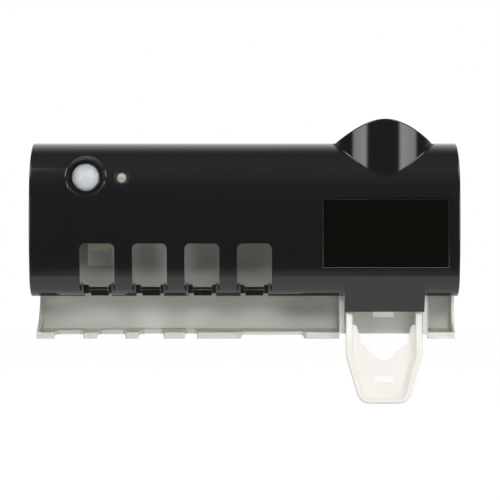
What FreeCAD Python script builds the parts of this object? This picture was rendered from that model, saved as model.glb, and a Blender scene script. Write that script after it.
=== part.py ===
import FreeCAD, Part
import math
import os

# Wall-mounted toothpaste dispenser with toothbrush holder, in millimetres.
# The wall is the plane y = 0 and the front faces -Y. x = 0, z = 0 is the middle of the cover.

os.makedirs("parts", exist_ok=True)
V = FreeCAD.Vector

# Clearances
PIN_FIT = 0.05
MOULD_GAP = 0.3
SLIDE_GAP = 0.4
CUT_OVER = 1.0

# Cover: one black moulding, a crown, a nearly flat belly and a rounded heel
COVER_WIDTH = 300.0
COVER_HEIGHT = 108.4
COVER_DEPTH = 58.0
COVER_WALL = 2.2
COVER_END_FILLET = 1.2
CROWN_RADIUS = 36.0
HEEL_RADIUS = 18.5
CROWN_LEAN = 8.0
HEEL_LEAN = 12.0
HEEL_END_LEAN = 75.0
RIM_TO_WALL = 0.5

# Brush windows in the cover
FIRST_WINDOW_INSET = 47.3
WINDOW_PITCH = 36.5
WINDOW_WIDTH = 24.2
WINDOW_TOP_Z = -17.4
WINDOW_HEIGHT = 28.2
WINDOW_CORNER = 4.0
NECK_SLOT_WIDTH = 19.2
CORNER_SLIT_WIDTH = 0.9
CORNER_SLIT_DROP = 4.4

# Brush floor behind the windows
FLOOR_HEIGHT = 4.7
FLOOR_FALL = 1.3
FLOOR_THICKNESS = 1.6
FLOOR_REAR_RIB = 0.95
FLOOR_RIB_THICKNESS = 1.5
FLOOR_MARGIN = 6.2
NOTCH_WIDTH = 12.7
NOTCH_MOUTH_RUN = 1.0
NOTCH_MOUTH_FALL = 1.7
NOTCH_EDGE_ROUND = 0.8
NOTCH_END_Y = -26.0
DRIP_RIB_THICKNESS = 2.0
CHEEK_RISE = 3.3
CHEEK_THICKNESS = 2.5
FLOOR_BOSS_RADIUS = 3.2
FLOOR_BOSS_LENGTH = 9.0

# Dispenser: collar, skirt, bay and lever all stand on one centre line
DISPENSER_INSET = 52.0
COLLAR_RADIUS = 38.0
COLLAR_SETBACK = 3.3
COLLAR_TOP_Z = 71.7
COLLAR_LIP_LEAN = 57.0
COLLAR_SCOOP_RADIUS = 46.0
COLLAR_SCOOP_OVERRUN = 8.0
COLLAR_BASE_Z = 12.0
COLLAR_FILLET = 1.0
COLLAR_LIP_FILLET = 1.0
WELL_REAR_STRIP = 6.0
SKIRT_WIDTH = 55.8
SKIRT_LEAN = 20.0
SKIRT_BOTTOM_Z = -65.2
PARTITION_OFFSET = 38.0
PARTITION_THICKNESS = 2.0

# Motion sensor and indicator lamp
PIR_INSET = 39.5
PIR_Z = 28.5
BEZEL_FACE_RADIUS = 12.9
BEZEL_SETBACK = 0.6
BEZEL_DRAFT = 11.0
BEZEL_LENGTH = 14.0
BEZEL_FOOT_FILLET = 1.6
BEZEL_EDGE_FILLET = 0.4
LENS_RADIUS = 10.0
LENS_HEIGHT = 7.0
LENS_WALL = 1.0
LENS_FLANGE_RADIUS = 11.2
LENS_FLANGE_THICKNESS = 1.2
LENS_LEDGE = 2.2
SENSOR_RADIUS = 4.6
SENSOR_HEIGHT = 4.4
SENSOR_SIGHT = 3.0
LED_OFFSET = 24.9
LED_Z = 28.0
LED_RADIUS = 3.9
LED_LENGTH = 11.0
LED_FLANGE_RADIUS = 4.5
LED_FLANGE_THICKNESS = 1.2
LED_BEAD_RADIUS = 4.9
LED_BEAD_SIZE = 0.5

# Solar panel
PANEL_WIDTH = 88.0
PANEL_HEIGHT = 48.0
PANEL_THICKNESS = 2.4
PANEL_OFFSET = 0.3
PANEL_Z = -10.4
PANEL_BED = 1.6
PANEL_FRAME = 2.5
PANEL_SINK = 0.3
PANEL_EDGE_FILLET = 0.5
LEAD_HOLE_RADIUS = 2.0

# Back plate with its tray
PLATE_THICKNESS = 3.0
PLATE_SIDE_GAP = 0.5
PLATE_TOP_GAP = 0.4
PLATE_DROP = 27.9
TRAY_REACH = 32.0
TRAY_REAR_RISE = 3.9
TRAY_FALL = 1.7
TRAY_LIP_DROP = 2.5
TRAY_LIP_THICKNESS = 2.4
TRAY_CORNER = 2.5
TRAY_EDGE_FILLET = 0.8
TRAY_RIGHT_INSET = 1.0
WING_THICKNESS = 2.2
WING_HEIGHT = 29.0
WING_SAG = 5.0
WING_EDGE_FILLET = 0.6
RIGHT_WING_TOP_Y = -24.0
RIGHT_WING_SAG = 7.5
DIVIDER_THICKNESS = 3.2
DIVIDER_TOP_Z = -13.0
DIVIDER_FOOT = 1.2

# Tray notches: distance from the tray's left end, width at the lip, width at the back, y of the back
TRAY_NOTCHES = (
    (22.8, 21.5, 15.6, -14.0),
    (52.8, 21.0, 15.5, -14.0),
    (81.3, 17.9, 13.2, -4.2),
    (109.2, 9.0, 6.4, -4.2),
)
# The wide notch: the same, with its distance from the dispensing bay's left wall
WIDE_NOTCH = (47.3, 48.7, 40.8, -26.0)

# Hanger pockets in the back plate
HANGER_LEFT_OFFSET = 1.3
HANGER_RIGHT_OFFSET = 14.0
HANGER_HOLE_WIDTH = 14.4
HANGER_HOLE_HEIGHT = 10.0
HANGER_SILL_Z = -22.6
POCKET_HEIGHT = 11.2
POCKET_WALL = 2.3
POCKET_DEPTH = 5.5
POCKET_CORNER = 3.0
POCKET_EDGE_FILLET = 1.0

# Runners of the squeezer cartridge
RUNNER_REACH = 1.6
RUNNER_THICKNESS = 2.0
STOP_THICKNESS = 2.0
STOP_INNER = 18.0
STOP_OUTER = 26.0

# Cover bosses and their screws
BOSS_LEFT_INSET = 12.0
BOSS_MIDDLE_OFFSET = 24.0
BOSS_RIGHT_INSET = 11.0
BOSS_ZS = (36.0, -42.0)
BOSS_RADIUS = 4.0
SCREW_HEAD_RADIUS = 3.2
SCREW_HEAD_HEIGHT = 1.4
SCREW_RADIUS = 1.4
SCREW_HOLE_RADIUS = 1.7
SCREW_SINK = 1.6
SCREW_LENGTH = 11.0
SMALL_HEAD_RADIUS = 2.2
SMALL_HEAD_HEIGHT = 1.1
SMALL_SCREW_RADIUS = 1.1

# Control board on posts of the cover
BOARD_INSET = 52.5
BOARD_Z = 22.0
BOARD_WIDTH = 71.0
BOARD_HEIGHT = 32.0
BOARD_THICKNESS = 1.6
BOARD_FRONT_Y = -46.0
POST_RADIUS = 2.8
POST_INSET = 4.0
BOARD_SCREW_LENGTH = 6.0
# Blocks on the board: x and z of the middle from the board's middle, width, height, thickness
BOARD_BLOCKS = (
    (-8.5, 0.5, 7.0, 7.0, 1.4),
    (8.5, -6.0, 5.0, 6.0, 1.6),
    (-20.5, -6.5, 7.0, 7.0, 4.0),
    (0.0, -12.5, 12.0, 5.0, 6.5),
)
# The capacitor: x and z from the board's middle, radius, length
BOARD_CAPACITOR = (20.0, 3.0, 3.2, 9.0)

# Battery
CELL_RADIUS = 9.2
CELL_LENGTH = 65.2
CELL_BUTTON_RADIUS = 3.0
CELL_BUTTON_HEIGHT = 1.0
CELL_INSET = 88.0
CELL_Z = 25.0
HOLDER_WALL = 1.8
HOLDER_RISE = 13.0
CONTACT_THICKNESS = 0.6
CONTACT_SIZE = 12.0
EAR_LENGTH = 9.0
EAR_WIDTH = 8.0
HOLDER_SCREW_BITE = 1.8

# Lamp strip over the brush windows
CEILING_Z = -7.5
CEILING_THICKNESS = 2.0
CEILING_REACH = 44.0
STRIP_FRONT_Y = -42.0
STRIP_DEPTH = 13.0
STRIP_THICKNESS = 1.6
LAMP_SIZE = 5.0
LAMP_HEIGHT = 1.6

# Squeezer cartridge
BODY_HALF = 16.0
BODY_BOTTOM_Z = -63.0
BODY_FLANGE_THICKNESS = 3.8
BODY_FRONT_Y = -19.0
PUMP_Z = -49.0
CHAMBER_RADIUS = 8.5
CHAMBER_DEPTH = 10.0
TUBE_Y = -20.0
TOWER_RADIUS = 12.5
TOWER_BOTTOM_Z = -34.0
DISH_RADIUS = 15.0
DISH_HEIGHT = 3.0
SOCKET_RADIUS = 9.0
SOCKET_DEPTH = 16.0
VALVE_SEAT_RADIUS = 6.0
VALVE_SEAT_DEPTH = 2.0
INLET_Y = -15.5
OUTLET_Y = -14.0
PASSAGE_RADIUS = 2.0
TONGUE_WIDTH = 14.4
TONGUE_LENGTH = 6.3
TONGUE_THICKNESS = 2.2
TONGUE_Y = -31.0
LUG_THICKNESS = 4.9
LUG_REACH = 4.5
LUG_HEIGHT = 11.5
BODY_FILLET = 1.5

# Seal, valves and nozzle
SEAL_BORE_RADIUS = 4.6
SEAL_MOUTH_RADIUS = 6.5
SEAL_MOUTH_DEPTH = 2.5
INLET_FLAP_THICKNESS = 1.2
INLET_FLAP_RIM = 0.6
INLET_FLAP_SLIT = 0.4
INLET_HINGE_WIDTH = 2.4
NOZZLE_RADIUS = 5.0
NOZZLE_SOCKET_DEPTH = 3.5
NOZZLE_LENGTH = 6.3
NOZZLE_BORE_RADIUS = 2.6
NOZZLE_TIP_RADIUS = 3.8
BILL_LENGTH = 4.0
BILL_WALL = 0.6

# Pump
BELLOWS_RADIUS = 5.8
BELLOWS_WALL = 1.0
BELLOWS_LENGTH = 4.5
BELLOWS_FLANGE_RADIUS = 10.0
RING_HALF_WIDTH = 14.5
RING_HALF_HEIGHT = 11.0
RING_CORNER = 4.0
RING_THICKNESS = 2.0
RING_GUIDE_RADIUS = 8.2
RING_GUIDE_LENGTH = 2.5
RING_BORE_GAP = 0.4
RING_SCREW_INSET = 2.8
RING_SCREW_LENGTH = 7.0
PLUNGER_TIP_RADIUS = 3.2
PLUNGER_HEAD_THICKNESS = 2.4
PLUNGER_GAP = 0.6
PLUNGER_RUN = 0.08
SPRING_WIRE_RADIUS = 0.4
SPRING_RADIUS = 3.9
SPRING_TURNS = 6

# Push lever, drawn upright about its pins and then leaned forward
PIVOT_Y = -31.0
PIVOT_Z = -31.0
LEVER_LEAN = 8.0
LEVER_HALF = 26.85
LEVER_BAR = 4.7
LEVER_FRONT = 3.8
LEVER_REAR = 2.7
LEVER_LENGTH = 99.3
LEVER_TAPER_START = 66.0
LEVER_FOOT_HALF = 17.2
LEVER_FOOT_ROUND = 9.0
LEVER_FOOT_SHARE = 0.72
LEVER_WAIST_ROUND = 20.0
LEVER_EYE_RADIUS = 4.2
LEVER_WEB = 2.2
EAR_TOP = 43.8
EAR_TOP_HALF = 19.4
EAR_ROUND = 3.0
NOTCH_SHOULDER = 56.5
NOTCH_SHOULDER_HALF = 16.4
NOTCH_SHOULDER_ROUND = 5.0
NOTCH_BOTTOM = 71.5
NOTCH_BOTTOM_ROUND = 8.2
LEVER_SLOT_RISE = 17.5
LEVER_SLOT_WIDTH = 13.3
LEVER_SLOT_HEIGHT = 4.3
LEVER_SLOT_ROUND = 0.8
CROSS_BAR_DROP = 18.2
CROSS_BAR_HEIGHT = 5.0
CROSS_BAR_THICKNESS = 3.0
LEVER_EDGE_FILLET = 0.8
PIN_RADIUS = 1.5

# Worked out from the sizes above
LEFT_X = -COVER_WIDTH / 2
RIGHT_X = COVER_WIDTH / 2
FRONT_Y = -COVER_DEPTH
TOP_Z = COVER_HEIGHT / 2
BOTTOM_Z = -COVER_HEIGHT / 2
PLATE_FRONT_Y = -PLATE_THICKNESS
PLATE_HALF = COVER_WIDTH / 2 - COVER_WALL - PLATE_SIDE_GAP
PLATE_TOP_Z = TOP_Z - COVER_WALL - PLATE_TOP_GAP
PLATE_BOTTOM_Z = BOTTOM_Z - PLATE_DROP
BAY_HALF = SKIRT_WIDTH / 2
DISPENSER_X = RIGHT_X - DISPENSER_INSET
PARTITION_X = DISPENSER_X - PARTITION_OFFSET
PANEL_X = DISPENSER_X + PANEL_OFFSET
PIR_X = LEFT_X + PIR_INSET
LED_X = PIR_X + LED_OFFSET
BOARD_X = LEFT_X + BOARD_INSET
CELL_X = LEFT_X + CELL_INSET
BOSS_XS = (LEFT_X + BOSS_LEFT_INSET, PARTITION_X - BOSS_MIDDLE_OFFSET, RIGHT_X - BOSS_RIGHT_INSET)
FIRST_WINDOW_X = LEFT_X + FIRST_WINDOW_INSET
WINDOW_ROOM = PARTITION_X - FIRST_WINDOW_X - WINDOW_WIDTH / 2 - FLOOR_MARGIN
WINDOW_COUNT = 1 + int(WINDOW_ROOM / WINDOW_PITCH)
WINDOW_XS = tuple(FIRST_WINDOW_X + i * WINDOW_PITCH for i in range(WINDOW_COUNT))
CHAMBER_LEFT = WINDOW_XS[0] - WINDOW_WIDTH / 2 - FLOOR_MARGIN
CHAMBER_RIGHT = WINDOW_XS[-1] + WINDOW_WIDTH / 2 + FLOOR_MARGIN
FLOOR_TOP_Z = BOTTOM_Z + FLOOR_HEIGHT
FLOOR_LOW_Z = FLOOR_TOP_Z - FLOOR_FALL - FLOOR_THICKNESS
FLOOR_BOSS_XS = tuple((a + b) / 2 for a, b in zip(WINDOW_XS, WINDOW_XS[1:]))
FLOOR_BOSS_Z = FLOOR_TOP_Z + FLOOR_BOSS_RADIUS
HANGER_XS = (FIRST_WINDOW_X - HANGER_LEFT_OFFSET, PARTITION_X - HANGER_RIGHT_OFFSET)
BOARD_BACK_Y = BOARD_FRONT_Y + BOARD_THICKNESS
FLANGE_REAR_Y = PLATE_FRONT_Y - SLIDE_GAP
FLANGE_FRONT_Y = FLANGE_REAR_Y - BODY_FLANGE_THICKNESS
FLANGE_HALF = BAY_HALF - SLIDE_GAP
FLANGE_TOP_Z = DIVIDER_TOP_Z
LUG_OUTER = LEVER_HALF - LEVER_BAR - SLIDE_GAP - MOULD_GAP
SOCKET_TOP_Z = FLANGE_TOP_Z + DISH_HEIGHT
SOCKET_FLOOR_Z = SOCKET_TOP_Z - SOCKET_DEPTH
VALVE_SEAT_Z = SOCKET_FLOOR_Z - VALVE_SEAT_DEPTH


def arc_centres():
    """Centres (y, z) and radii of the three tangent arcs of the cover's section."""
    crown, belly_up, heel = (math.radians(a) for a in (CROWN_LEAN, HEEL_LEAN, HEEL_END_LEAN))
    crown_drop = CROWN_RADIUS * (1 - math.sin(crown))
    heel_drop = HEEL_RADIUS * (math.sin(heel) - math.sin(belly_up))
    belly_radius = (COVER_HEIGHT - crown_drop - heel_drop) / (math.sin(crown) + math.sin(belly_up))
    belly_y = FRONT_Y + belly_radius
    crown_y = belly_y - (belly_radius - CROWN_RADIUS) * math.cos(crown)
    crown_z = TOP_Z - CROWN_RADIUS
    belly_z = crown_z - (belly_radius - CROWN_RADIUS) * math.sin(crown)
    heel_y = belly_y - (belly_radius - HEEL_RADIUS) * math.cos(belly_up)
    heel_z = belly_z - (belly_radius - HEEL_RADIUS) * math.sin(belly_up)
    return (
        ((crown_y, crown_z), CROWN_RADIUS, -90.0, -CROWN_LEAN),
        ((belly_y, belly_z), belly_radius, -CROWN_LEAN, HEEL_LEAN),
        ((heel_y, heel_z), HEEL_RADIUS, HEEL_LEAN, HEEL_END_LEAN),
    )


CROWN, BELLY, HEEL = arc_centres()


def on_arc(arc, inset, lean):
    """Point (y, z) of a section arc where the surface leans this many degrees from upright."""
    centre, radius = arc[0], arc[1] - inset
    angle = math.radians(lean)
    return (centre[0] - radius * math.cos(angle), centre[1] - radius * math.sin(angle))


def surface_y(z, inset=0.0):
    """y of the cover's surface, sunk by inset, at a height."""
    for arc in (CROWN, BELLY, HEEL):
        low = on_arc(arc, inset, arc[3])[1]
        if z >= low:
            break
    centre, radius = arc[0], arc[1] - inset
    return centre[0] - math.sqrt(radius * radius - (z - centre[1]) ** 2)


def box(x0, x1, y0, y1, z0, z1):
    return Part.makeBox(x1 - x0, y1 - y0, z1 - z0, V(x0, y0, z0))


def rod(radius, start, end):
    return Part.makeCylinder(radius, (end - start).Length, start, end - start)


def rod_y(radius, x, z, y0, y1):
    return rod(radius, V(x, y0, z), V(x, y1, z))


def rod_z(radius, x, y, z0, z1):
    return rod(radius, V(x, y, z0), V(x, y, z1))


def join(first, *others):
    return first.fuse(list(others)).removeSplitter()


def outline(corners, place):
    """Closed wire through corners (u, v, round), with each corner rounded by a tangent arc."""
    count = len(corners)
    starts, mids, ends = [], [], []
    for i, (u, v, radius) in enumerate(corners):
        here = V(u, v, 0)
        before = V(corners[i - 1][0], corners[i - 1][1], 0)
        after = V(corners[(i + 1) % count][0], corners[(i + 1) % count][1], 0)
        to_before = (before - here).normalize()
        to_after = (after - here).normalize()
        half = to_before.getAngle(to_after) / 2
        reach = radius / math.tan(half)
        starts.append(here + to_before * reach)
        ends.append(here + to_after * reach)
        inward = (to_before + to_after).normalize()
        mids.append(here + inward * (radius / math.sin(half) - radius))
    edges = []
    for i in range(count):
        if corners[i][2] > 0:
            points = [place(p.x, p.y) for p in (starts[i], mids[i], ends[i])]
            edges.append(Part.Arc(*points).toShape())
        a, b = ends[i], starts[(i + 1) % count]
        if (b - a).Length > 1e-6:
            edges.append(Part.LineSegment(place(a.x, a.y), place(b.x, b.y)).toShape())
    return Part.Wire(edges)


def plate_xz(corners, y0, y1):
    face = Part.Face(outline(corners, lambda u, v: V(u, y0, v)))
    return face.extrude(V(0, y1 - y0, 0))


def plate_xy(corners, z0, z1):
    face = Part.Face(outline(corners, lambda u, v: V(u, v, z0)))
    return face.extrude(V(0, 0, z1 - z0))


def prism_yz(corners, x0, x1):
    face = Part.Face(outline(corners, lambda u, v: V(x0, u, v)))
    return face.extrude(V(x1 - x0, 0, 0))


def rounded_rectangle(x, z, width, height, radius):
    half_w, half_h = width / 2, height / 2
    signs = ((-1, -1), (1, -1), (1, 1), (-1, 1))
    return [(x + sx * half_w, z + sz * half_h, radius) for sx, sz in signs]


def turned(points, x, y, z, axis):
    """Solid of revolution from (radius, height) points, about a line along axis."""
    wire = Part.makePolygon([V(r, 0, h) for r, h in points] + [V(points[0][0], 0, points[0][1])])
    solid = Part.Face(wire).revolve(V(0, 0, 0), V(0, 0, 1), 360)
    solid.Placement = FreeCAD.Placement(V(x, y, z), FreeCAD.Rotation(V(0, 0, 1), axis))
    return solid


def screw(head_radius, head_height, radius, length, seat, way):
    """Pan-head screw: seat is the point under its head, way points along its shank."""
    way = V(way).normalize()
    head = rod(head_radius, seat, seat - way * head_height)
    return head.fuse(rod(radius, seat, seat + way * length)).removeSplitter()


def cover_section(inset, x0, x1, rear_y, tail):
    """Solid of the cover's section sunk by inset; tail closes it from the heel back to the wall."""
    edges = []
    points = [(rear_y, TOP_Z - inset), on_arc(CROWN, inset, -90.0)]
    edges.append((points[0], points[1]))
    for arc in (CROWN, BELLY, HEEL):
        middle = (arc[2] + arc[3]) / 2
        edges.append(tuple(on_arc(arc, inset, lean) for lean in (arc[2], middle, arc[3])))
    corners = [edges[-1][-1], *tail, points[0]]
    edges += list(zip(corners, corners[1:]))
    shapes = []
    for run in edges:
        spots = [V(x0, y, z) for y, z in run]
        curve = Part.Arc(*spots) if len(spots) == 3 else Part.LineSegment(*spots)
        shapes.append(curve.toShape())
    return Part.Face(Part.Wire(shapes)).extrude(V(x1 - x0, 0, 0))


def cover_hollow(inset):
    """The space inside the cover, open at the back and below."""
    half = COVER_WIDTH / 2 - inset
    past_heel = on_arc(HEEL, -CUT_OVER, HEEL_END_LEAN)
    below = BOTTOM_Z - CUT_OVER * 2
    tail = [past_heel, (past_heel[0], below), (CUT_OVER, below)]
    return cover_section(inset, -half, half, CUT_OVER, tail)


def panel_block(margin, front, back, edge_fillet=0.0):
    """Block in the solar panel's own slope: margin round it, from front to back of its face."""
    top, bottom = PANEL_Z + PANEL_HEIGHT / 2, PANEL_Z - PANEL_HEIGHT / 2
    top_y, bottom_y = surface_y(top), surface_y(bottom)
    slope = math.degrees(math.atan2(bottom_y - top_y, PANEL_HEIGHT))
    half_w, half_h = PANEL_WIDTH / 2 + margin, PANEL_HEIGHT / 2 + margin
    block = box(-half_w, half_w, front, back, -half_h, half_h)
    if edge_fillet > 0:
        block = block.makeFillet(edge_fillet, [e for e in block.Edges if e.BoundBox.YMax < front + 1e-4])
    turn = FreeCAD.Rotation(V(1, 0, 0), -slope)
    block.Placement = FreeCAD.Placement(V(PANEL_X, (top_y + bottom_y) / 2 + PANEL_SINK, PANEL_Z), turn)
    return block


def collar_column():
    """Upright round column that the tube collar is cut from, flush with the cover's rim at the back."""
    centre_y = FRONT_Y + COLLAR_SETBACK + COLLAR_RADIUS
    top = COLLAR_TOP_Z + CUT_OVER
    column = rod_z(COLLAR_RADIUS, DISPENSER_X, centre_y, COLLAR_BASE_Z, top)
    return column.cut(box(-COVER_WIDTH, COVER_WIDTH, -RIM_TO_WALL, COLLAR_RADIUS * 2, 0, top + CUT_OVER))


def collar_slice():
    """What the scooped top takes off the column: a hollow arc from its front lip down towards the wall."""
    radius = COLLAR_SCOOP_RADIUS
    lean = math.radians(COLLAR_LIP_LEAN)
    centre_y = FRONT_Y + COLLAR_SETBACK + radius * math.sin(lean)
    centre_z = COLLAR_TOP_Z + radius * math.cos(lean)
    reach = COLLAR_RADIUS + COLLAR_FILLET + CUT_OVER
    x0 = DISPENSER_X - reach

    def spot(angle):
        turn = math.radians(angle)
        return V(x0, centre_y - radius * math.sin(turn), centre_z - radius * math.cos(turn))

    first = COLLAR_LIP_LEAN + COLLAR_SCOOP_OVERRUN
    start, middle, end = (spot(a) for a in (first, first / 2, 0))
    far, above = COLLAR_RADIUS * 2, COLLAR_TOP_Z + COLLAR_RADIUS
    corners = [end, V(x0, far, end.z), V(x0, far, above), V(x0, start.y, above), start]
    edges = [Part.Arc(start, middle, end).toShape()]
    edges += [Part.LineSegment(a, b).toShape() for a, b in zip(corners, corners[1:])]
    return Part.Face(Part.Wire(edges)).extrude(V(reach * 2, 0, 0))


def collar_lip():
    """The sliver that rounding takes off the collar's sharp lip."""
    sharp = collar_column().cut(collar_slice())
    lip = [e for e in sharp.Edges if on_collar(e) and e.BoundBox.ZMax > COLLAR_TOP_Z - 1e-2]
    return sharp.cut(sharp.makeFillet(COLLAR_LIP_FILLET, lip))


def on_collar(edge):
    """Whether an edge lies on the collar's outer face."""
    centre_y = FRONT_Y + COLLAR_SETBACK + COLLAR_RADIUS
    reach = [math.hypot(p.x - DISPENSER_X, p.y - centre_y) for p in edge.discretize(7)]
    return all(abs(r - COLLAR_RADIUS) < 1e-2 for r in reach)


def bezel():
    """Tapered boss that carries the sensor's lens."""
    foot = BEZEL_FACE_RADIUS + BEZEL_LENGTH * math.tan(math.radians(BEZEL_DRAFT))
    face_y = FRONT_Y + BEZEL_SETBACK
    boss = Part.makeCone(BEZEL_FACE_RADIUS, foot, BEZEL_LENGTH, V(PIR_X, face_y, PIR_Z), V(0, 1, 0))
    return boss.makeFillet(BEZEL_EDGE_FILLET, [e for e in boss.Edges if e.BoundBox.YMax < face_y + 1e-4])


def round_bezel(edge):
    """Whether an edge runs round the foot of the bezel's tapered side."""
    face_y = FRONT_Y + BEZEL_SETBACK
    spread = math.tan(math.radians(BEZEL_DRAFT))
    reach = [
        math.hypot(p.x - PIR_X, p.z - PIR_Z) - (p.y - face_y) * spread for p in edge.discretize(9)
    ]
    on_side = all(abs(r - BEZEL_FACE_RADIUS) < 1e-2 for r in reach)
    return on_side and edge.BoundBox.YLength > 1e-3 and edge.Curve.TypeId != "Part::GeomLine"


def lamp_bead():
    """Small raised ring round the indicator lamp, square to the cover's crown."""
    centre_y, centre_z = CROWN[0]
    y = surface_y(LED_Z)
    outward = V(0, y - centre_y, LED_Z - centre_z)
    return Part.makeTorus(LED_BEAD_RADIUS, LED_BEAD_SIZE, V(LED_X, y, LED_Z), outward)


def tube_well():
    centre_y = FRONT_Y + COLLAR_SETBACK + COLLAR_RADIUS
    radius = COLLAR_RADIUS - COVER_WALL
    well = rod_z(radius, DISPENSER_X, centre_y, COLLAR_BASE_Z, COLLAR_TOP_Z + COLLAR_RADIUS)
    rear = -RIM_TO_WALL - WELL_REAR_STRIP
    return well.cut(box(-COVER_WIDTH, COVER_WIDTH, rear, COLLAR_RADIUS * 2, 0, COLLAR_TOP_Z * 3))


def skirt_line(inset):
    """Top and bottom (y, z) of the skirt's face, sunk by inset."""
    top = on_arc(HEEL, inset, SKIRT_LEAN)
    fall = math.tan(math.radians(SKIRT_LEAN))
    return top, (top[0] + (top[1] - SKIRT_BOTTOM_Z) * fall, SKIRT_BOTTOM_Z)


def skirt():
    """Apron that runs on from the heel in front of the dispensing bay, with two side webs."""
    top, bottom = skirt_line(0)
    end = on_arc(HEEL, 0, HEEL_END_LEAN)
    inner_top = on_arc(HEEL, COVER_WALL, SKIRT_LEAN)
    corners = [top, bottom, (end[0], SKIRT_BOTTOM_Z), end, inner_top]
    return prism_yz([(y, z, 0) for y, z in corners], DISPENSER_X - BAY_HALF, DISPENSER_X + BAY_HALF)


def skirt_pocket():
    """Room behind the skirt for the lever and the cartridge."""
    top, bottom = skirt_line(COVER_WALL)
    fall = math.tan(math.radians(SKIRT_LEAN))
    low = SKIRT_BOTTOM_Z - CUT_OVER
    corners = [top, (bottom[0] + CUT_OVER * fall, low), (PLATE_FRONT_Y, low), (PLATE_FRONT_Y, top[1])]
    half = BAY_HALF - COVER_WALL
    return prism_yz([(y, z, 0) for y, z in corners], DISPENSER_X - half, DISPENSER_X + half)


def brush_window(x):
    """One brush window: a rounded opening, the narrower slot that runs out below it and two corner slits."""
    middle_z = WINDOW_TOP_Z - WINDOW_HEIGHT / 2
    y0, y1 = FRONT_Y - CUT_OVER, NOTCH_END_Y
    opening = plate_xz(rounded_rectangle(x, middle_z, WINDOW_WIDTH, WINDOW_HEIGHT, WINDOW_CORNER), y0, y1)
    half, edge = NECK_SLOT_WIDTH / 2, WINDOW_WIDTH / 2
    slit_z = WINDOW_TOP_Z - WINDOW_HEIGHT - CORNER_SLIT_DROP
    runs = [
        box(x - half, x + half, y0, y1, BOTTOM_Z - CUT_OVER, middle_z),
        box(x - edge, x - edge + CORNER_SLIT_WIDTH, y0, y1, slit_z, middle_z),
        box(x + edge - CORNER_SLIT_WIDTH, x + edge, y0, y1, slit_z, middle_z),
    ]
    return opening.fuse(runs)


def board_posts():
    half_w, half_h = BOARD_WIDTH / 2 - POST_INSET, BOARD_HEIGHT / 2 - POST_INSET
    return [(BOARD_X + sx * half_w, BOARD_Z + sz * half_h) for sx in (-1, 1) for sz in (-1, 1)]


def front_cover():
    half = COVER_WIDTH / 2
    shell = cover_section(0, -half, half, -RIM_TO_WALL, [(-RIM_TO_WALL, BOTTOM_Z)])
    ends = [
        e for e in shell.Edges
        if abs(abs(e.CenterOfMass.x) - half) < 1e-6
        and e.CenterOfMass.y < -RIM_TO_WALL - 1e-3
    ]
    shell = shell.makeFillet(COVER_END_FILLET, ends)
    plain = shell
    shell = join(plain, collar_column())
    foot = [e for e in shell.Edges if on_collar(e) and e.BoundBox.ZMax < TOP_Z + 1e-2]
    shell = shell.makeFillet(COLLAR_FILLET, foot).cut([collar_slice().cut(plain), collar_lip().cut(plain)])
    shell = join(shell, bezel())
    shell = shell.makeFillet(BEZEL_FOOT_FILLET, [e for e in shell.Edges if round_bezel(e)])
    shell = join(shell, lamp_bead()).cut(cover_hollow(COVER_WALL)).cut(tube_well())

    hidden = cover_hollow(COVER_WALL / 2)
    boss_end = PLATE_FRONT_Y - MOULD_GAP
    inside = [rod_y(BOSS_RADIUS, x, z, FRONT_Y, boss_end) for x in BOSS_XS for z in BOSS_ZS]
    inside += [rod_y(POST_RADIUS, x, z, FRONT_Y, BOARD_FRONT_Y) for x, z in board_posts()]
    wall_end = PARTITION_X + PARTITION_THICKNESS
    inside.append(box(PARTITION_X, wall_end, FRONT_Y, boss_end, BOTTOM_Z, TOP_Z))
    inside.append(panel_block(PANEL_FRAME, -COVER_WALL, PANEL_THICKNESS + PANEL_BED))
    shell = join(shell, skirt(), *[piece.common(hidden) for piece in inside])

    cuts = [skirt_pocket()] + [brush_window(x) for x in WINDOW_XS]
    cuts.append(panel_block(MOULD_GAP, -COVER_DEPTH / 4, PANEL_THICKNESS))
    cuts.append(rod_y(LEAD_HOLE_RADIUS, PANEL_X, PANEL_Z, FRONT_Y, FRONT_Y / 2))
    ledge_y = lens_ledge_y()
    cuts.append(rod_y(LENS_RADIUS + MOULD_GAP, PIR_X, PIR_Z, FRONT_Y - CUT_OVER, ledge_y))
    cuts.append(rod_y(LENS_FLANGE_RADIUS + MOULD_GAP, PIR_X, PIR_Z, ledge_y, BOARD_FRONT_Y))
    cuts.append(rod_y(LED_RADIUS + MOULD_GAP, LED_X, LED_Z, FRONT_Y - CUT_OVER, BOARD_FRONT_Y))
    pilot = SCREW_RADIUS + PIN_FIT
    pilot_end = -SCREW_SINK - SCREW_LENGTH - CUT_OVER
    cuts += [rod_y(pilot, x, z, pilot_end, 0) for x in BOSS_XS for z in BOSS_ZS]
    pilot = SMALL_SCREW_RADIUS + PIN_FIT
    post_end = BOARD_BACK_Y - BOARD_SCREW_LENGTH - MOULD_GAP
    cuts += [rod_y(pilot, x, z, post_end, BOARD_FRONT_Y) for x, z in board_posts()]
    return shell.cut(cuts).removeSplitter()


def tray(x0, x1):
    """Tray floor that falls towards the front and ends in a downturned lip."""
    rear_z = PLATE_BOTTOM_Z + TRAY_REAR_RISE
    lip_z = PLATE_BOTTOM_Z - TRAY_LIP_DROP
    lip_back = -TRAY_REACH + TRAY_LIP_THICKNESS
    corners = [
        (0, rear_z, 0), (-TRAY_REACH, rear_z - TRAY_FALL, 0), (-TRAY_REACH, lip_z, TRAY_EDGE_FILLET),
        (lip_back, lip_z, 0), (lip_back + TRAY_LIP_DROP, PLATE_BOTTOM_Z, 0), (0, PLATE_BOTTOM_Z, 0),
    ]
    return prism_yz(corners, x0, x1)


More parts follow.
